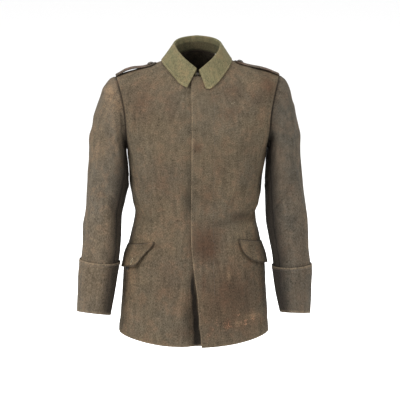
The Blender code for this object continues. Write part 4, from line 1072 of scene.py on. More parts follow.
def make_flap(side, material):
    """A pocket flap with a rounded front corner, sewn along its top and free below."""
    across = edged(0.0, 1.0, FLAP_COLUMNS, CLOTH / 2.0 / FLAP_LENGTH)[0]
    rows = edged(0.0, 1.0, FLAP_ROWS, CLOTH / 2.0 / FLAP_DEPTH)[0]
    share, down = np.meshgrid(across, rows)
    outer, normals = flap_surface(share, down, side)
    fullness = np.minimum(edged_fullness(FLAP_ROWS)[:, None], edged_fullness(FLAP_COLUMNS)[None, :])
    ends = np.minimum(np.minimum(share, 1.0 - share) * FLAP_LENGTH, (1.0 - down) * FLAP_DEPTH)
    front = 1.0 - smooth_step(share, *FLAP_EDGE_SHADOW_ENDS)
    marks = {
        # Besides the top seam, this mark darkens the flap's free edges as painted shade
        "seam": np.maximum(edge_mark(down * FLAP_DEPTH, SEAM_REACH["flap"]),
                           edge_mark(ends, FLAP_EDGE_SHADE_REACH)),
        "edge": FLAP_EDGE_WEAR * edge_mark(ends, EDGE_REACH["flap"]),
        # The front part of the free edges is darkened as painted shadow
        "grime_and_shade": FLAP_EDGE_SHADOW * edge_mark(ends, FLAP_EDGE_SHADOW_REACH) * front,
    }
    if side == BUTTONHOLE["side"]:
        # The buttonhole's slit is darkened as painted shade
        slit = (((share - BUTTONHOLE["share"]) / BUTTONHOLE["half_width"]) ** 2
                + ((down - BUTTONHOLE["down"]) / BUTTONHOLE["half_length"]) ** 2)
        marks["grime_and_shade"] = np.maximum(marks["grime_and_shade"], SLIT_SHADE * np.exp(-slit))
    cloth_map = np.stack([share * FLAP_LENGTH + MAP_START["flap"], -down * max(FLAP[side]["depth"])], axis=-1)
    return wall("pocket_flap_cloth_" + side, outer, normals, fullness, cloth_map, marks, material)


# Shoulder straps

def strap_frame(level, side):
    """Middle line of a shoulder strap's top face, which arches off the shoulder halfway, and the
    direction that faces up from it."""
    angle = np.full_like(level, side_angle(math.pi / 2.0, side))
    ridge = plain_body_point(angle, level)
    low, high = (plain_body_point(angle, np.full_like(level, stop)) for stop in STRAP_SLOPE_LEVELS)
    inward = unit((high - low) * np.array([1.0, 0.0, 1.0]))
    upward = unit(np.cross(inward, np.array([0.0, 1.0, 0.0])))
    upward = upward * np.sign(upward[..., 2:3])
    share = (level - STRAP_OUTER_LEVEL) / (STRAP_INNER_LEVEL[side] - STRAP_OUTER_LEVEL)
    arch = smooth_step(share, *STRAP_ARCH_RISE) * (1.0 - smooth_step(share, *STRAP_ARCH_FALL))
    arch = STRAP_ARCH[side] * arch
    return ridge + (STRAP_LIFT + STRAP_THICKNESS + arch)[..., None] * upward, upward


def strap_half_width(share):
    """Half the strap's width: straight, then a half circle at the end next to the collar."""
    into_end = np.clip((share - 1.0 + STRAP_ROUND_SHARE) / STRAP_ROUND_SHARE, 0.0, 0.97)
    return STRAP_HALF_WIDTH * np.sqrt(1.0 - into_end ** 2)


def strap_surface(share, across, side):
    """Points and normals of a strap's top face, with a slight crown and a piped edge."""
    level = STRAP_OUTER_LEVEL + (STRAP_INNER_LEVEL[side] - STRAP_OUTER_LEVEL) * share
    middle, upward = strap_frame(level, side)
    y = strap_half_width(share) * across
    turns = share * STRAP_WAVE["turns"] + STRAP_WAVE["shift"]
    wave = STRAP_WAVE["rise"] * np.sin(2.0 * math.pi * turns) * (1.0 - across ** 2)
    rise = -0.5 * STRAP_CROWN * y * y + wave
    shift = np.stack([np.zeros_like(y), y, rise], axis=-1)
    return middle + shift, upward


def make_strap(side, material):
    """A shoulder strap, sewn in at the sleeve and rounded at the collar."""
    turn = np.linspace(0.0, 1.0, STRAP_COLUMNS + 1)
    even = 1.0 - (1.0 - turn) ** STRAP_CROWDING
    near, start = np.asarray(STRAP_END_SHARES[:-1]), STRAP_END_SHARES[-1]
    share_line = np.concatenate([near, start + (1.0 - 2.0 * start) * even, 1.0 - near[::-1]])
    across_line = edged(-1.0, 1.0, STRAP_ROWS, STRAP_THICKNESS / 2.0 / STRAP_HALF_WIDTH)[0]
    across, share = np.meshgrid(across_line, share_line)
    outer, normals = strap_surface(share, across, side)
    fullness = np.minimum(edged_fullness(STRAP_COLUMNS)[:, None], edged_fullness(STRAP_ROWS)[None, :])
    ends = np.minimum((1.0 - np.abs(across)) * STRAP_HALF_WIDTH, (1.0 - share) * STRAP_LENGTH)
    marks = {"seam": edge_mark(share * STRAP_LENGTH, SEAM_REACH["strap"]),
             "edge": edge_mark(ends, EDGE_REACH["strap"])}
    cloth_map = np.stack([across * STRAP_HALF_WIDTH + MAP_START["strap"], share * STRAP_LENGTH], axis=-1)
    return wall("strap_cloth_" + side, outer, normals, fullness, cloth_map, marks, material,
                thickness=STRAP_THICKNESS)


# Sewing, as rows of small spindles

STITCH_SHARES = (0.0, 0.18, 0.5, 0.82, 1.0)
STITCH_SIDES = 5
STITCH_SINK = 0.3
EDGE_THREAD = {"pitch": 0.0042, "length": 0.0031, "radius": 0.00038}
BUTTONHOLE_THREAD = {"pitch": 0.0008, "length": 0.0024, "radius": 0.00040}


def stitch_row(path, facing, thread, crosswise=False):
    """Corners and faces of a row of stitches: spindles set by even lengths along a path, whose width
    follows the root of a half sine from tip to tip, half sunk in the cloth. Crosswise ones stand
    across the path, as round a buttonhole."""
    lengths = path_lengths(path)
    places = np.arange(thread["pitch"] / 2.0, lengths[-1], thread["pitch"])
    middle, up, forward = (
        np.stack([np.interp(places, lengths, along[:, axis]) for axis in range(3)], axis=-1)
        for along in (path, facing, np.gradient(path, lengths, axis=0)))
    up, forward = unit(up), unit(forward)
    side = unit(np.cross(up, forward))
    if crosswise:
        forward, side = side, -forward
    share = np.repeat(STITCH_SHARES[1:-1], STITCH_SIDES)
    turn = np.tile(np.arange(STITCH_SIDES) * 2.0 * math.pi / STITCH_SIDES, len(STITCH_SHARES) - 2)
    width = thread["radius"] * np.sqrt(np.sin(math.pi * share))
    share = np.concatenate([[0.0], share, [1.0]])
    across = np.concatenate([[0.0], width * np.cos(turn), [0.0]])
    tip = [-STITCH_SINK * thread["radius"]]
    height = np.concatenate([tip, width * np.sin(turn), tip])
    points = (middle[:, None] + (share - 0.5)[None, :, None] * thread["length"] * forward[:, None]
              + across[None, :, None] * side[:, None] + height[None, :, None] * up[:, None])
    ring = np.arange(STITCH_SIDES)
    after = (ring + 1) % STITCH_SIDES
    last = 1 + STITCH_SIDES * (len(STITCH_SHARES) - 3)
    bands = [np.stack([1 + start + ring, 1 + start + ring + STITCH_SIDES, 1 + start + after + STITCH_SIDES,
                       1 + start + after], axis=-1) for start in range(0, last - 1, STITCH_SIDES)]
    tips = np.concatenate([np.stack([np.zeros_like(ring), 1 + ring, 1 + after], axis=-1),
                           np.stack([np.full_like(ring, last + STITCH_SIDES), last + after, last + ring],
                                    axis=-1)])
    shift = np.arange(len(places)) * points.shape[1]
    quads = (np.concatenate(bands)[None] + shift[:, None, None]).reshape(-1, 4)
    triangles = (tips[None] + shift[:, None, None]).reshape(-1, 3)
    return points.reshape(-1, 3), quads.tolist() + triangles.tolist()


def add_stitches(name, rows, material):
    """All rows of one seam, joined in one mesh."""
    points, faces, count = [], [], 0
    for row_points, row_faces in rows:
        points.append(row_points)
        faces += [[corner + count for corner in face] for face in row_faces]
        count += len(row_points)
    add_piece(name, np.concatenate(points), faces, material)


PATH_STEPS = {"fly": 260, "flap": 60, "buttonhole": 73, "cuff": 145, "strap": 80, "darn": 8}
FLY_STITCH_LEVELS = (0.13, 0.75)
FLAP_STITCH_SHARES = (0.03, 0.97)
FLAP_STITCH_DOWN = 0.06
STRAP_STITCH_SHARES = (0.02, 0.90)
STRAP_STITCH_ACROSS = 0.80
CUFF_STITCH_INSET = 0.0055
BUTTONHOLE = {"side": "right", "share": 0.49, "down": 0.78, "half_width": 0.018, "half_length": 0.13}
DARN_PLACE = {"angle": 40.0, "level": 0.690, "half": 0.0035, "rows": 4}


def fly_row():
    """The row that holds the hidden fly, from the neck down to the skirt."""
    level = np.linspace(*FLY_STITCH_LEVELS, PATH_STEPS["fly"])
    return front_left_surface(edge_turn(FLY_LINE_X + fly_waver(level), level), level)


def flap_row(side):
    """The row along the top of a flap."""
    share = np.linspace(*FLAP_STITCH_SHARES, PATH_STEPS["flap"])
    return flap_surface(share, np.full_like(share, FLAP_STITCH_DOWN), side)


def buttonhole_row():
    """The closed row round the flap's buttonhole: a slender ellipse on the flap."""
    turn = np.linspace(0.0, 2.0 * math.pi, PATH_STEPS["buttonhole"])
    share = BUTTONHOLE["share"] + BUTTONHOLE["half_width"] * np.sin(turn)
    down = BUTTONHOLE["down"] + BUTTONHOLE["half_length"] * np.cos(turn)
    return flap_surface(share, down, BUTTONHOLE["side"])


def cuff_row(side):
    """The row just below the top edge of a cuff."""
    turn = np.linspace(0.0, 2.0 * math.pi, PATH_STEPS["cuff"])
    along = np.full_like(turn, CUFF_START[side] + CUFF_STITCH_INSET / SLEEVE_LENGTH)
    return cuff_surface(turn, along, side)


def strap_row(side, across):
    """A row along one long edge of a strap."""
    share = np.linspace(*STRAP_STITCH_SHARES, PATH_STEPS["strap"])
    return strap_surface(share, np.full_like(share, across), side)


def darn_rows():
    """A small darn on the chest: short rows of light thread beside each other."""
    half = DARN_PLACE["half"]
    for place in np.linspace(-half, half, DARN_PLACE["rows"]):
        level = DARN_PLACE["level"] + np.linspace(-half, half, PATH_STEPS["darn"])
        angle = np.full_like(level, math.radians(DARN_PLACE["angle"]) + place / FOLD_RADIUS)
        yield front_left_surface(angle, level)


def sew(collar_rows, dark_thread, light_thread):
    """All the sewing that shows."""
    edge = EDGE_THREAD
    add_stitches("fly_stitches", [stitch_row(*fly_row(), edge)], dark_thread)
    add_stitches("collar_stitches", [stitch_row(*row, edge) for row in collar_rows], light_thread)
    for side in ("left", "right"):
        add_stitches("flap_stitches_" + side, [stitch_row(*flap_row(side), edge)], dark_thread)
        add_stitches("cuff_stitches_" + side, [stitch_row(*cuff_row(side), edge)], dark_thread)
        long_rows = [stitch_row(*strap_row(side, across), edge)
                     for across in (-STRAP_STITCH_ACROSS, STRAP_STITCH_ACROSS)]
        add_stitches("strap_stitches_" + side, long_rows, light_thread)
    add_stitches("buttonhole_stitches",
                 [stitch_row(*buttonhole_row(), BUTTONHOLE_THREAD, crosswise=True)], light_thread)
    add_stitches("chest_darn", [stitch_row(*row, edge) for row in darn_rows()], light_thread)


# Buttons and the collar's hook

BUTTON_RADIUS = 0.0078
BUTTON_HEIGHT = 0.0052
BUTTON_SEAT_GAP = 0.0005
BUTTON_TURNS = 40
BUTTON_PROFILE = {
    "radius": (0.0, 0.22, 0.45, 0.66, 0.80, 0.86, 0.885, 0.91, 0.96, 0.995, 1.0, 0.98, 0.92, 0.5, 0.0),
    "height": (1.0, 0.985, 0.93, 0.80, 0.62, 0.50, 0.46, 0.47, 0.50, 0.45, 0.36, 0.20, 0.0, 0.0, 0.0),
}
STRAP_BUTTON_LEVEL = {"right": 0.757, "left": 0.767}
POCKET_BUTTON = {
    "right": {"angle": 76.0, "level": 0.178, "settle": 0.0010},
    "left":  {"angle": 68.0, "level": 0.202, "settle": 0.0002},
}
HOOK_WIRE = 0.00055
HOOK_SIDES = 8
HOOK_PLACE = (-0.0035, -0.0815, -0.0270)
HOOK_SIZE = 0.0030
HOOK_STEPS = 40
HOOK_TURN = 3.0 * math.pi
HOOK_DEPTH = 0.0012
HOOK_ACROSS = (0.4, 0.6)
HOOK_UPRIGHT = (1.0, -0.3)
HOOK_TIP_SHARE = 0.02
HOOK_TIP_GROWTH = 8.0


def turned(name, place, facing, material):
    """A button: its profile, a dome inside a raised rim, carried round the axis that it faces along."""
    across = unit(np.cross(np.array([0.0, 1.0, 0.0]), facing))
    upright = np.cross(facing, across)
    turn = np.arange(BUTTON_TURNS) * 2.0 * math.pi / BUTTON_TURNS
    spoke = np.cos(turn)[:, None] * across + np.sin(turn)[:, None] * upright
    radius = BUTTON_RADIUS * np.asarray(BUTTON_PROFILE["radius"][1:-1])
    height = BUTTON_HEIGHT * np.asarray(BUTTON_PROFILE["height"][1:-1])
    centre = place + BUTTON_SEAT_GAP * facing
    rings = centre + radius[:, None, None] * spoke[None] + height[:, None, None] * facing
    points = np.concatenate([[centre + BUTTON_HEIGHT * facing], rings.reshape(-1, 3), [centre]])
    ring = np.arange(BUTTON_TURNS)
    after = (ring + 1) % BUTTON_TURNS
    start = 1 + BUTTON_TURNS * np.arange(len(radius) - 1)[:, None]
    quads = np.stack([start + ring, start + BUTTON_TURNS + ring, start + BUTTON_TURNS + after, start + after],
                     axis=-1).reshape(-1, 4)
    low = 1 + BUTTON_TURNS * (len(radius) - 1)
    caps = np.concatenate([np.stack([np.zeros_like(ring), 1 + ring, 1 + after], axis=-1),
                           np.stack([np.full_like(ring, len(points) - 1), low + after, low + ring], axis=-1)])
    return add_piece(name, points, quads.tolist() + caps.tolist(), material)


def make_buttons(material):
    """The straps' and the pockets' buttons, each in its solid's place."""
    for side in ("left", "right"):
        middle, upward = strap_frame(np.array([STRAP_BUTTON_LEVEL[side]]), side)
        strap_button = turned("turned_strap_button_" + side, middle[0], upward[0], material)
        place = POCKET_BUTTON[side]
        angle = np.array([side_angle(math.radians(place["angle"]), side)])
        level = np.array([place["level"]])
        point = plain_body_point(angle, level)
        normal = plain_body_normal(angle, level)
        if side == "left":
            point = point + left_front_lift(point, level)[..., None] * normal
        seat = point[0] - place["settle"] * normal[0]
        pocket_button = turned("turned_pocket_button_" + side, seat, normal[0], material)
        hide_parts("strap_button_" + side)
        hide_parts("pocket_button_" + side)


def make_hook(material):
    """The collar's hook and eye: a bent wire, round in section, along one and a half turns of a flat
    coil. Its width and height change evenly from end to end, and its tips narrow to a point."""
    along = np.linspace(0.0, 1.0, HOOK_STEPS)
    turn = HOOK_TURN * along
    across, upright = (HOOK_SIZE * (first + growth * along) for first, growth in (HOOK_ACROSS, HOOK_UPRIGHT))
    path = np.stack([across * np.cos(turn), -HOOK_DEPTH * along, upright * np.sin(turn)], axis=-1)
    path = path + np.array(HOOK_PLACE)
    forward = unit(np.gradient(path, axis=0))
    side = unit(np.cross(forward, np.array([0.0, 1.0, 0.0])))
    other = np.cross(forward, side)
    around = np.arange(HOOK_SIDES) * 2.0 * math.pi / HOOK_SIDES
    inward = HOOK_TIP_SHARE + (1.0 - 2.0 * HOOK_TIP_SHARE) * along
    wire = HOOK_WIRE * np.sqrt(np.clip(np.sin(math.pi * inward) * HOOK_TIP_GROWTH, 0.0, 1.0))
    points = (path[:, None] + (wire[:, None] * np.cos(around))[..., None] * side[:, None]
              + (wire[:, None] * np.sin(around))[..., None] * other[:, None])
    grid = np.arange(len(along) * HOOK_SIDES).reshape(len(along), HOOK_SIDES)
    grid = np.concatenate([grid, grid[:, :1]], axis=1)
    faces = corners(grid).tolist() + [grid[0, :-1][::-1].tolist(), grid[-1, :-1].tolist()]
    piece = add_piece("collar_hook", points, faces, material)


# Shader sums written as expressions

class Value:
    """A socket of a material; sums on it add Math nodes."""

    def __init__(self, finish, socket):
        self.finish = finish
        self.socket = socket

    def _sum(self, operation, *values):
        return self.finish.node("ShaderNodeMath", {"operation": operation}, values)

    def __add__(self, other):
        return self._sum("ADD", self, other)

    def __radd__(self, other):
        return self._sum("ADD", other, self)

    def __sub__(self, other):
        return self._sum("SUBTRACT", self, other)

    def __rsub__(self, other):
        return self._sum("SUBTRACT", other, self)

    def __mul__(self, other):
        return self._sum("MULTIPLY", self, other)

    def __rmul__(self, other):
        return self._sum("MULTIPLY", other, self)

    def __truediv__(self, other):
        return self._sum("DIVIDE", self, other)

    def within(self):
        """The value, held between 0 and 1."""
        return self.finish.node("ShaderNodeClamp", {}, {"Value": self})

    def step(self, start, end):
        """0 at start, 1 at end, and a soft curve between."""
        return self.finish.node("ShaderNodeMapRange", {"interpolation_type": "SMOOTHSTEP"},
                                {"Value": self, "From Min": start, "From Max": end})

    def wave(self):
        """The sine of the value."""
        return self._sum("SINE", self)

    def folded(self, width):
        """A zigzag that climbs and falls between 0 and a width."""
        return self._sum("PINGPONG", self, width)


class Finish:
    """A material under construction, with its shader and the nodes that feed it."""

    def __init__(self, name, roughness, **constant):
        self.material = bpy.data.materials.new(name)
        self.material.use_nodes = True
        self.tree = self.material.node_tree
        self.shader = self.tree.nodes["Principled BSDF"]
        self.shader.inputs["Roughness"].default_value = roughness
        for socket, value in constant.items():
            self.shader.inputs[socket.replace("_", " ").title()].default_value = value

    def node(self, kind, settings, sockets, output=0):
        """A node of one type: its settings first, then the values or links of its sockets."""
        node = self.tree.nodes.new(kind)
        for setting, value in settings.items():
            setattr(node, setting, value)
        pairs = sockets.items() if isinstance(sockets, dict) else enumerate(sockets)
        for place, value in pairs:
            socket = node.inputs[place]
            if isinstance(value, Value):
                self.tree.links.new(value.socket, socket)
            else:
                socket.default_value = value
        return Value(self, node.outputs[output])

    def feed(self, socket, value):
        """A link into the shader."""
        self.tree.links.new(value.socket, self.shader.inputs[socket])

    def mark(self, name):
        """A mark that the mesh carries."""
        return self.node("ShaderNodeAttribute", {"attribute_name": name}, {}, output="Fac")

    def place(self):
        """Place on the object, in metres."""
        return self.node("ShaderNodeTexCoord", {}, {}, output="Object")

    def cloth_map(self):
        """Place on the cloth's own map, in metres."""
        return self.node("ShaderNodeUVMap", {"uv_map": "cloth"}, {})

    def stretched(self, vector, scale):
        """A place scaled by a different amount along each axis."""
        return self.node("ShaderNodeVectorMath", {"operation": "MULTIPLY"}, [vector, scale])

    def part(self, vector, axis):
        """One axis of a vector."""
        return self.node("ShaderNodeSeparateXYZ", {}, [vector], output=axis)

    def noise(self, vector, scale, detail=2.0, roughness=0.5, distortion=0.0):
        """Soft noise between 0 and 1."""
        return self.node("ShaderNodeTexNoise", {}, {"Vector": vector, "Scale": scale, "Detail": detail,
                                                    "Roughness": roughness, "Distortion": distortion})

    def mix(self, factor, first, second, blend="MIX"):
        """Two colours mixed by a factor."""
        settings = {"data_type": "RGBA", "blend_type": blend}
        return self.node("ShaderNodeMix", settings, {0: factor, 6: first, 7: second}, output=2)

    def bump(self, height, distance, strength, below=None):
        """Fine relief, on top of coarser relief where that is given."""
        sockets = {"Height": height, "Distance": distance, "Strength": strength}
        if below is not None:
            sockets["Normal"] = below
        return self.node("ShaderNodeBump", {}, sockets)


def colour(red, green, blue):
    """A colour from its screen values, 0 to 255."""
    share = [value / 255.0 for value in (red, green, blue)]
    return (*[((value + 0.055) / 1.055) ** 2.4 if value > 0.04045 else value / 12.92 for value in share], 1.0)


# Finishes

# Noises of the wool: waves per metre on the object or across and along the cloth's map, detail and
# roughness
PLACE_NOISES = {
    "clouds":  (7.0, 4.0, 0.60),
    "patches": (26.0, 4.0, 0.62),
    "blots":   (75.0, 4.0, 0.65),
}
CLOTH_NOISES = {
    "heather": ((430.0, 210.0, 1.0), 3.0, 0.70),
    "flecks":  ((900.0, 420.0, 1.0), 3.0, 0.70),
    "fibres":  ((2300.0, 1500.0, 1.0), 2.0, 0.60),
    "streaks": ((110.0, 16.0, 1.0), 3.0, 0.65),
}

# How much each noise lightens and darkens the wool
GRAIN = {"heather": 2.8, "flecks": 2.0, "fibres": 0.7, "blots": 1.0, "patches": 0.7, "streaks": 1.0}

# Stains that the mesh is marked with: strength, how much they break up, and colour, where that isn't
# the wool's own dark. The darkest one is dirt in some places and painted shade in others: beside the front's
# edge, at the flaps' edges, in a buttonhole, in a waist crease and on the sleeves' side towards the body
STAINS = {
    "rust":  (0.85, 1.0, (52, 37, 27)),
    "fade":  (0.70, 1.0, (98, 80, 61)),
    "grime_and_shade": (0.92, 0.5, None),
}
BROKEN_UP = 1.8

# Torn up fibres: how far they spread with the mark, where tufts begin and are full, how the patch
# begins, strength and colour
FRAY_SPREAD = 0.12
FRAY_STEP = (0.635, 0.695)
FRAY_EDGE = (0.06, 0.40)
FRAY_STRENGTH = 0.75
FRAY_COLOUR = (99, 72, 54)

# Seams, rubbed edges that also paint a highlight, and painted shade on the inner side
SEAM_DARK = 0.6
# The rubbed colour is wear and also a painted highlight along free edges, most of all the front's edge
EDGE_RUBBED_AND_HIGHLIGHT = 0.55
RUBBED_AND_HIGHLIGHT_COLOUR = (96, 84, 68)
INSIDE_SHADE = 0.6

# The weave
TWILL_PITCH = 0.0012
HERRINGBONE_HALF = 0.007
CLOTH_GLOSS = 0.08


def wool_finish(name, ground, warm, grey, dark, piping=None, speckle=1.0):
    """Worn milled wool: a mottled ground, heathered threads in a herringbone twill, rust, fading, fray, and
    grime and painted shade where the mesh is marked, dark seams, rubbed edges with a painted highlight,
    painted shade inside."""
    finish = Finish(name, 0.93, sheen_weight=0.025, sheen_roughness=0.4,
                    sheen_tint=colour(170, 160, 140))
    finish.shader.inputs["Specular IOR Level"].default_value = CLOTH_GLOSS
    place = finish.place()
    cloth = finish.cloth_map()
    noises = {name: finish.noise(place, *size) for name, size in PLACE_NOISES.items()}
    for name, (scale, detail, roughness) in CLOTH_NOISES.items():
        noises[name] = finish.noise(finish.stretched(cloth, scale), 1.0, detail, roughness)
    clouds, patches, blots, heather, flecks, fibres, _ = noises.values()

    tone = finish.mix(clouds.step(0.36, 0.64), grey, ground)
    tone = finish.mix((patches * 0.6 + blots * 0.4).step(0.47, 0.62) * 0.5, tone, warm)
    broken = (patches * 0.5 + blots * 0.5 - 0.5) * BROKEN_UP
    # The stains colour the tone; the darkest one is also painted shade in places
    for mark, (strength, broken_share, stain) in STAINS.items():
        amount = (finish.mark(mark) * (1.0 + broken * broken_share)).within()
        tone = finish.mix(amount * strength, tone, colour(*stain) if stain else dark)
    frayed = finish.mark("fray")
    tufts = (heather * 0.6 + blots * 0.4 + frayed * FRAY_SPREAD).step(*FRAY_STEP)
    tone = finish.mix(tufts * frayed.step(*FRAY_EDGE) * FRAY_STRENGTH, tone, colour(*FRAY_COLOUR))
    tone = finish.mix(finish.mark("seam") * SEAM_DARK, tone, dark)
    # Free edges take the rubbed colour, or the piping's: rubbed wear, and on the body also a painted
    # highlight
    rubbed_and_highlight = (finish.mark("edge") * (0.4 + patches)).within()
    tone = finish.mix(rubbed_and_highlight * EDGE_RUBBED_AND_HIGHLIGHT, tone, piping or colour(*RUBBED_AND_HIGHLIGHT_COLOUR))
    # Painted shade on the inner side and on the collar stand's face towards the neck
    tone = finish.mix(finish.mark("inside") * INSIDE_SHADE, tone, dark)

    grain = sum((noises[name] - 0.5) * amount for name, amount in GRAIN.items())
    shade = 1.0 + grain * speckle
    tone = finish.node("ShaderNodeVectorMath", {"operation": "SCALE"}, {0: tone, "Scale": shade})
    finish.feed("Base Color", tone)
    finish.feed("Roughness", 0.97 - 0.10 * patches)

    zigzag = finish.part(cloth, 0).folded(HERRINGBONE_HALF)
    twill = ((zigzag + finish.part(cloth, 1)) * (2.0 * math.pi / TWILL_PITCH)).wave()
    nap = finish.bump(patches * 0.6 + blots * 0.4, 0.004, 0.45)
    relief = finish.bump(heather * 0.5 + flecks * 0.5 + fibres * 0.3 + twill * 0.16, 0.0007, 0.6, nap)
    finish.feed("Normal", relief)
    return finish.material


def thread_finish(name, dark, light):
    """Sewing thread, dull and a little uneven."""
    finish = Finish(name, 0.8, sheen_weight=0.1)
    strand = finish.noise(finish.place(), 900.0, 2.0)
    finish.feed("Base Color", finish.mix(strand.step(0.4, 0.6), dark, light))
    finish.feed("Normal", finish.bump(strand, 0.0004, 0.4))
    return finish.material


def metal_finish():
    """Old button metal: dark paint worn through in patches."""
    finish = Finish("dull_button_metal", 0.5)
    place = finish.place()
    wear = finish.noise(place, 420.0, 4.0, 0.6).step(0.52, 0.68)
    finish.feed("Base Color", finish.mix(wear, colour(42, 38, 34), colour(118, 106, 90)))
    finish.feed("Metallic", 0.35 + wear * 0.6)
    finish.feed("Roughness", 0.62 - wear * 0.22)
    finish.feed("Normal", finish.bump(finish.noise(place, 900.0, 3.0), 0.0003, 0.5))
    return finish.material


# Wear of the cloth and some painted shade, laid by place: middle, half width and half height in metres, and
# strength

WEAR_AND_SHADE_FRONT = {
    "rust": (
        (-0.150, -0.100, 0.040, 0.050, 0.50), (-0.070, -0.110, 0.020, 0.035, 0.35),
        (-0.095, -0.300, 0.045, 0.050, 0.30), (-0.005, -0.212, 0.010, 0.012, 0.75),
        (0.020, -0.340, 0.022, 0.040, 0.35), (0.016, -0.465, 0.042, 0.052, 1.10),
        (0.086, -0.075, 0.030, 0.020, 0.55), (0.085, -0.120, 0.022, 0.018, 0.40),
        (0.178, -0.062, 0.020, 0.030, 0.75), (0.150, -0.090, 0.030, 0.024, 0.40),
        (0.070, -0.600, 0.085, 0.100, 0.75), (0.045, -0.510, 0.018, 0.014, 0.60),
        (0.012, -0.560, 0.012, 0.040, 0.75), (0.070, -0.665, 0.020, 0.022, 0.85),
        (0.028, -0.680, 0.012, 0.018, 0.60), (-0.075, -0.560, 0.050, 0.070, 0.35),
        (-0.120, -0.470, 0.020, 0.010, 0.60), (0.048, -0.262, 0.020, 0.030, 0.25),
        (-0.040, -0.690, 0.030, 0.020, 0.45),
    ),
    "fade": (
        (-0.226, -0.080, 0.016, 0.032, 0.80), (-0.205, -0.105, 0.012, 0.030, 0.50),
        (-0.182, -0.560, 0.014, 0.075, 0.60), (-0.127, -0.458, 0.010, 0.006, 0.60),
        (0.075, -0.545, 0.006, 0.012, 0.65), (0.086, -0.078, 0.005, 0.002, 0.80),
        (0.135, -0.655, 0.022, 0.008, 0.60), (0.100, -0.668, 0.010, 0.006, 0.60),
    ),
    "grime_and_shade": (
        # The first six spots are painted shadow on the right front, beside and under the left front's free
        # edge; the seventh paints the shade of the waist crease on the wearer's left; the two tiniest are
        # dirt
        (-0.028, -0.340, 0.012, 0.060, 0.50), (-0.030, -0.650, 0.014, 0.045, 0.55),
        (-0.018, -0.570, 0.005, 0.034, 1.50), (-0.013, -0.620, 0.006, 0.040, 1.80),
        (-0.009, -0.665, 0.007, 0.040, 1.80), (-0.006, -0.710, 0.009, 0.034, 1.80),
        (0.105, -0.396, 0.035, 0.014, 0.60), (0.135, -0.270, 0.035, 0.080, 0.25),
        (-0.055, -0.402, 0.003, 0.003, 0.90), (0.060, -0.410, 0.030, 0.010, 0.30),
        (0.110, -0.600, 0.040, 0.060, 0.25), (-0.012, -0.218, 0.002, 0.003, 0.90),
    ),
    "fray": (
        (0.062, -0.672, 0.034, 0.026, 1.00), (0.118, -0.664, 0.036, 0.020, 0.90),
        (0.030, -0.688, 0.014, 0.018, 0.80), (0.095, -0.630, 0.020, 0.016, 0.40),
    ),
}
WEAR_BACK = {
    "rust": (
        (0.060, -0.080, 0.050, 0.040, 0.45), (-0.080, -0.200, 0.045, 0.070, 0.35),
        (0.030, -0.450, 0.060, 0.050, 0.40), (-0.090, -0.620, 0.050, 0.050, 0.50),
        (0.100, -0.640, 0.040, 0.030, 0.45), (0.170, -0.070, 0.025, 0.030, 0.50),
    ),
    "fade": ((-0.182, -0.560, 0.014, 0.060, 0.45), (-0.226, -0.085, 0.014, 0.030, 0.55)),
    "grime_and_shade": (
        (0.000, -0.400, 0.080, 0.016, 0.35), (-0.060, -0.690, 0.070, 0.020, 0.40),
        (0.080, -0.300, 0.030, 0.060, 0.25),
    ),
    "fray": ((-0.060, -0.700, 0.040, 0.010, 0.50), (0.110, -0.696, 0.030, 0.010, 0.45)),
}


def painted(points):
    """Wear marks and painted shade by place: each is the strongest of its soft spots, e to the minus squared
    distance in spot sizes, on the half of the tunic that the spot belongs to."""
    marks = {}
    for mark in WEAR_AND_SHADE_FRONT:
        value = np.zeros(len(points))
        for spots, facing in ((WEAR_AND_SHADE_FRONT[mark], -1.0), (WEAR_BACK[mark], 1.0)):
            half = smooth_step(facing * points[:, 1], -0.01, 0.03)
            for x, z, half_width, half_height, strength in spots:
                spread = ((points[:, 0] - x) / half_width) ** 2 + ((points[:, 2] - z) / half_height) ** 2
                value = np.maximum(value, strength * half * np.exp(-spread))
        marks[mark] = value
    return marks


# Stage

CAMERA_DISTANCE = 9.0
CAMERA_TURN = math.radians(-2.6)
CAMERA_RISE = math.radians(10.5)
PHOTO_SCALE = 0.00258
PHOTO_SIZE = 400
CAMERA_AIM = (0.0065, 0.0, -0.3675)
SENSOR = 36.0


def make_camera():
    """The camera at the photograph's angle, framed so that one picture cell is PHOTO_SCALE metres."""
    away = np.array([math.sin(CAMERA_TURN) * math.cos(CAMERA_RISE),
                     -math.cos(CAMERA_TURN) * math.cos(CAMERA_RISE),
                     math.sin(CAMERA_RISE)])
    data = bpy.data.cameras.new("photo_view")
    data.sensor_width = SENSOR
    data.sensor_fit = "HORIZONTAL"
    data.lens = SENSOR * CAMERA_DISTANCE / (PHOTO_SCALE * PHOTO_SIZE)
    camera = add_object("photo_view", data)
    camera.location = np.array(CAMERA_AIM) + CAMERA_DISTANCE * away
    camera.rotation_euler = (math.pi / 2.0 - CAMERA_RISE, 0.0, CAMERA_TURN)
    bpy.context.scene.camera = camera


FLOOR_DROP = 0.30
FLOOR_REACH = 14.0
FLOOR_TONE = (0.93, 0.93, 0.93, 1.0)
SURROUND_TONE = (1.0, 1.0, 1.0, 1.0)
SURROUND_STRENGTH = 1.0
LAMPS = {
    "key":  {"at": (-3.0, -2.2, 1.7), "size": 2.0, "power": 300.0},
    "fill": {"at": (3.0, -1.9, 1.0), "size": 2.2, "power": 130.0},
    "top":  {"at": (0.0, -0.2, 3.0), "size": 2.0, "power": 80.0},
    "rear": {"at": (0.4, 2.8, 0.9), "size": 2.6, "power": 60.0},
}


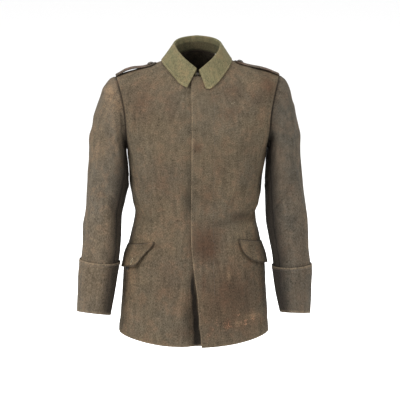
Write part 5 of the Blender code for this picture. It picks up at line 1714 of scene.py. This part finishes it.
def make_stage():
    """A plain pale floor, soft studio lamps and an even white surround."""
    low = cad_box[0][2]
    finish = Finish("pale_floor", 0.9)
    finish.shader.inputs["Base Color"].default_value = FLOOR_TONE
    reach, height = FLOOR_REACH, low - FLOOR_DROP
    ends = [(-reach, -reach, height), (reach, -reach, height), (reach, reach, height),
            (-reach, reach, height)]
    floor = add_mesh("floor", ends, [(0, 1, 2, 3)], finish.material)
    for name, lamp in LAMPS.items():
        data = bpy.data.lights.new(name, "AREA")
        data.shape = "SQUARE"
        data.size = lamp["size"]
        data.energy = lamp["power"]
        light = add_object(name, data)
        light.location = lamp["at"]
        aim = np.array(CAMERA_AIM) - np.array(lamp["at"])
        pitch = math.atan2(math.hypot(aim[0], aim[1]), -aim[2])
        light.rotation_euler = (pitch, 0.0, math.atan2(-aim[0], aim[1]))
    world = bpy.data.worlds.new("surround")
    world.use_nodes = True
    background = world.node_tree.nodes["Background"]
    background.inputs["Color"].default_value = SURROUND_TONE
    background.inputs["Strength"].default_value = SURROUND_STRENGTH
    bpy.context.scene.world = world
    bpy.context.scene.view_settings.view_transform = "Standard"


# The cut of each piece that shows: width, length and area, flat, in metres and square metres

CUT = {
    "left_front_cloth":  (0.330, 0.745, 0.190),
    "right_front_cloth": (0.360, 0.745, 0.205),
    "back_cloth":        (0.560, 0.770, 0.330),
    "upper_sleeve_cloth": (0.255, 0.620, 0.120),
    "under_sleeve_cloth": (0.185, 0.480, 0.070),
    "turned_back_cuff":  (0.350, 0.138, 0.0468),
    "collar_cloth":      (0.500, 0.105, 0.0455),
    "pocket_flap_cloth": (0.120, 0.066, 0.0070),
    "strap_cloth":       (0.034, 0.135, 0.0044),
}


def declare(piece, nodes, cut):
    """Hides the solids that a cloth piece takes the place of, and looks up its flat cut, which goes no
    further.
    """
    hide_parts(*nodes)
    width, length, area = CUT[cut]


def main():
    """Dresses the tunic, sets the stage and hides the solids that the cloth pieces take the place of."""
    make_camera()
    make_stage()
    body_wool = wool_finish("body_wool", colour(68, 59, 46), colour(70, 55, 42), colour(66, 59, 48),
                            colour(20, 17, 14))
    right_wool = wool_finish("right_sleeve_wool", colour(71, 62, 50), colour(73, 59, 46),
                             colour(67, 61, 52), colour(27, 23, 19))
    left_wool = wool_finish("left_sleeve_wool", colour(61, 54, 45), colour(63, 52, 42),
                            colour(57, 53, 46), colour(24, 21, 18))
    collar_wool = wool_finish("collar_wool", colour(78, 73, 53), colour(84, 71, 51),
                              colour(76, 73, 53), colour(34, 32, 23), piping=colour(98, 90, 65),
                              speckle=0.7)
    strap_wool = wool_finish("strap_wool", colour(56, 45, 38), colour(68, 45, 36), colour(50, 46, 39),
                             colour(26, 22, 19), piping=colour(28, 25, 21))
    left, right = make_fronts(body_wool)
    declare(left, ["front_left"], "left_front_cloth")
    declare(right, ["front_right"], "right_front_cloth")
    back = make_back(body_wool)
    declare(back, ["back"], "back_cloth")
    collar, collar_seams = make_collar(collar_wool)
    declare(collar, ["collar"], "collar_cloth")
    for side, wool in (("left", left_wool), ("right", right_wool)):
        upper, under = make_sleeve(side, wool)
        declare(upper, ["sleeve_upper_" + side], "upper_sleeve_cloth")
        declare(under, ["sleeve_under_" + side], "under_sleeve_cloth")
        cuff = make_cuff(side, wool)
        declare(cuff, ["cuff_" + side], "turned_back_cuff")
        flap = make_flap(side, body_wool)
        declare(flap, ["pocket_flap_" + side], "pocket_flap_cloth")
        strap = make_strap(side, strap_wool)
        declare(strap, ["shoulder_strap_" + side], "strap_cloth")
    dark_thread = thread_finish("dark_thread", colour(40, 32, 24), colour(66, 54, 42))
    light_thread = thread_finish("light_thread", colour(86, 76, 56), colour(134, 118, 90))
    sew(collar_seams, dark_thread, light_thread)
    metal = metal_finish()
    make_buttons(metal)
    make_hook(metal)


main()
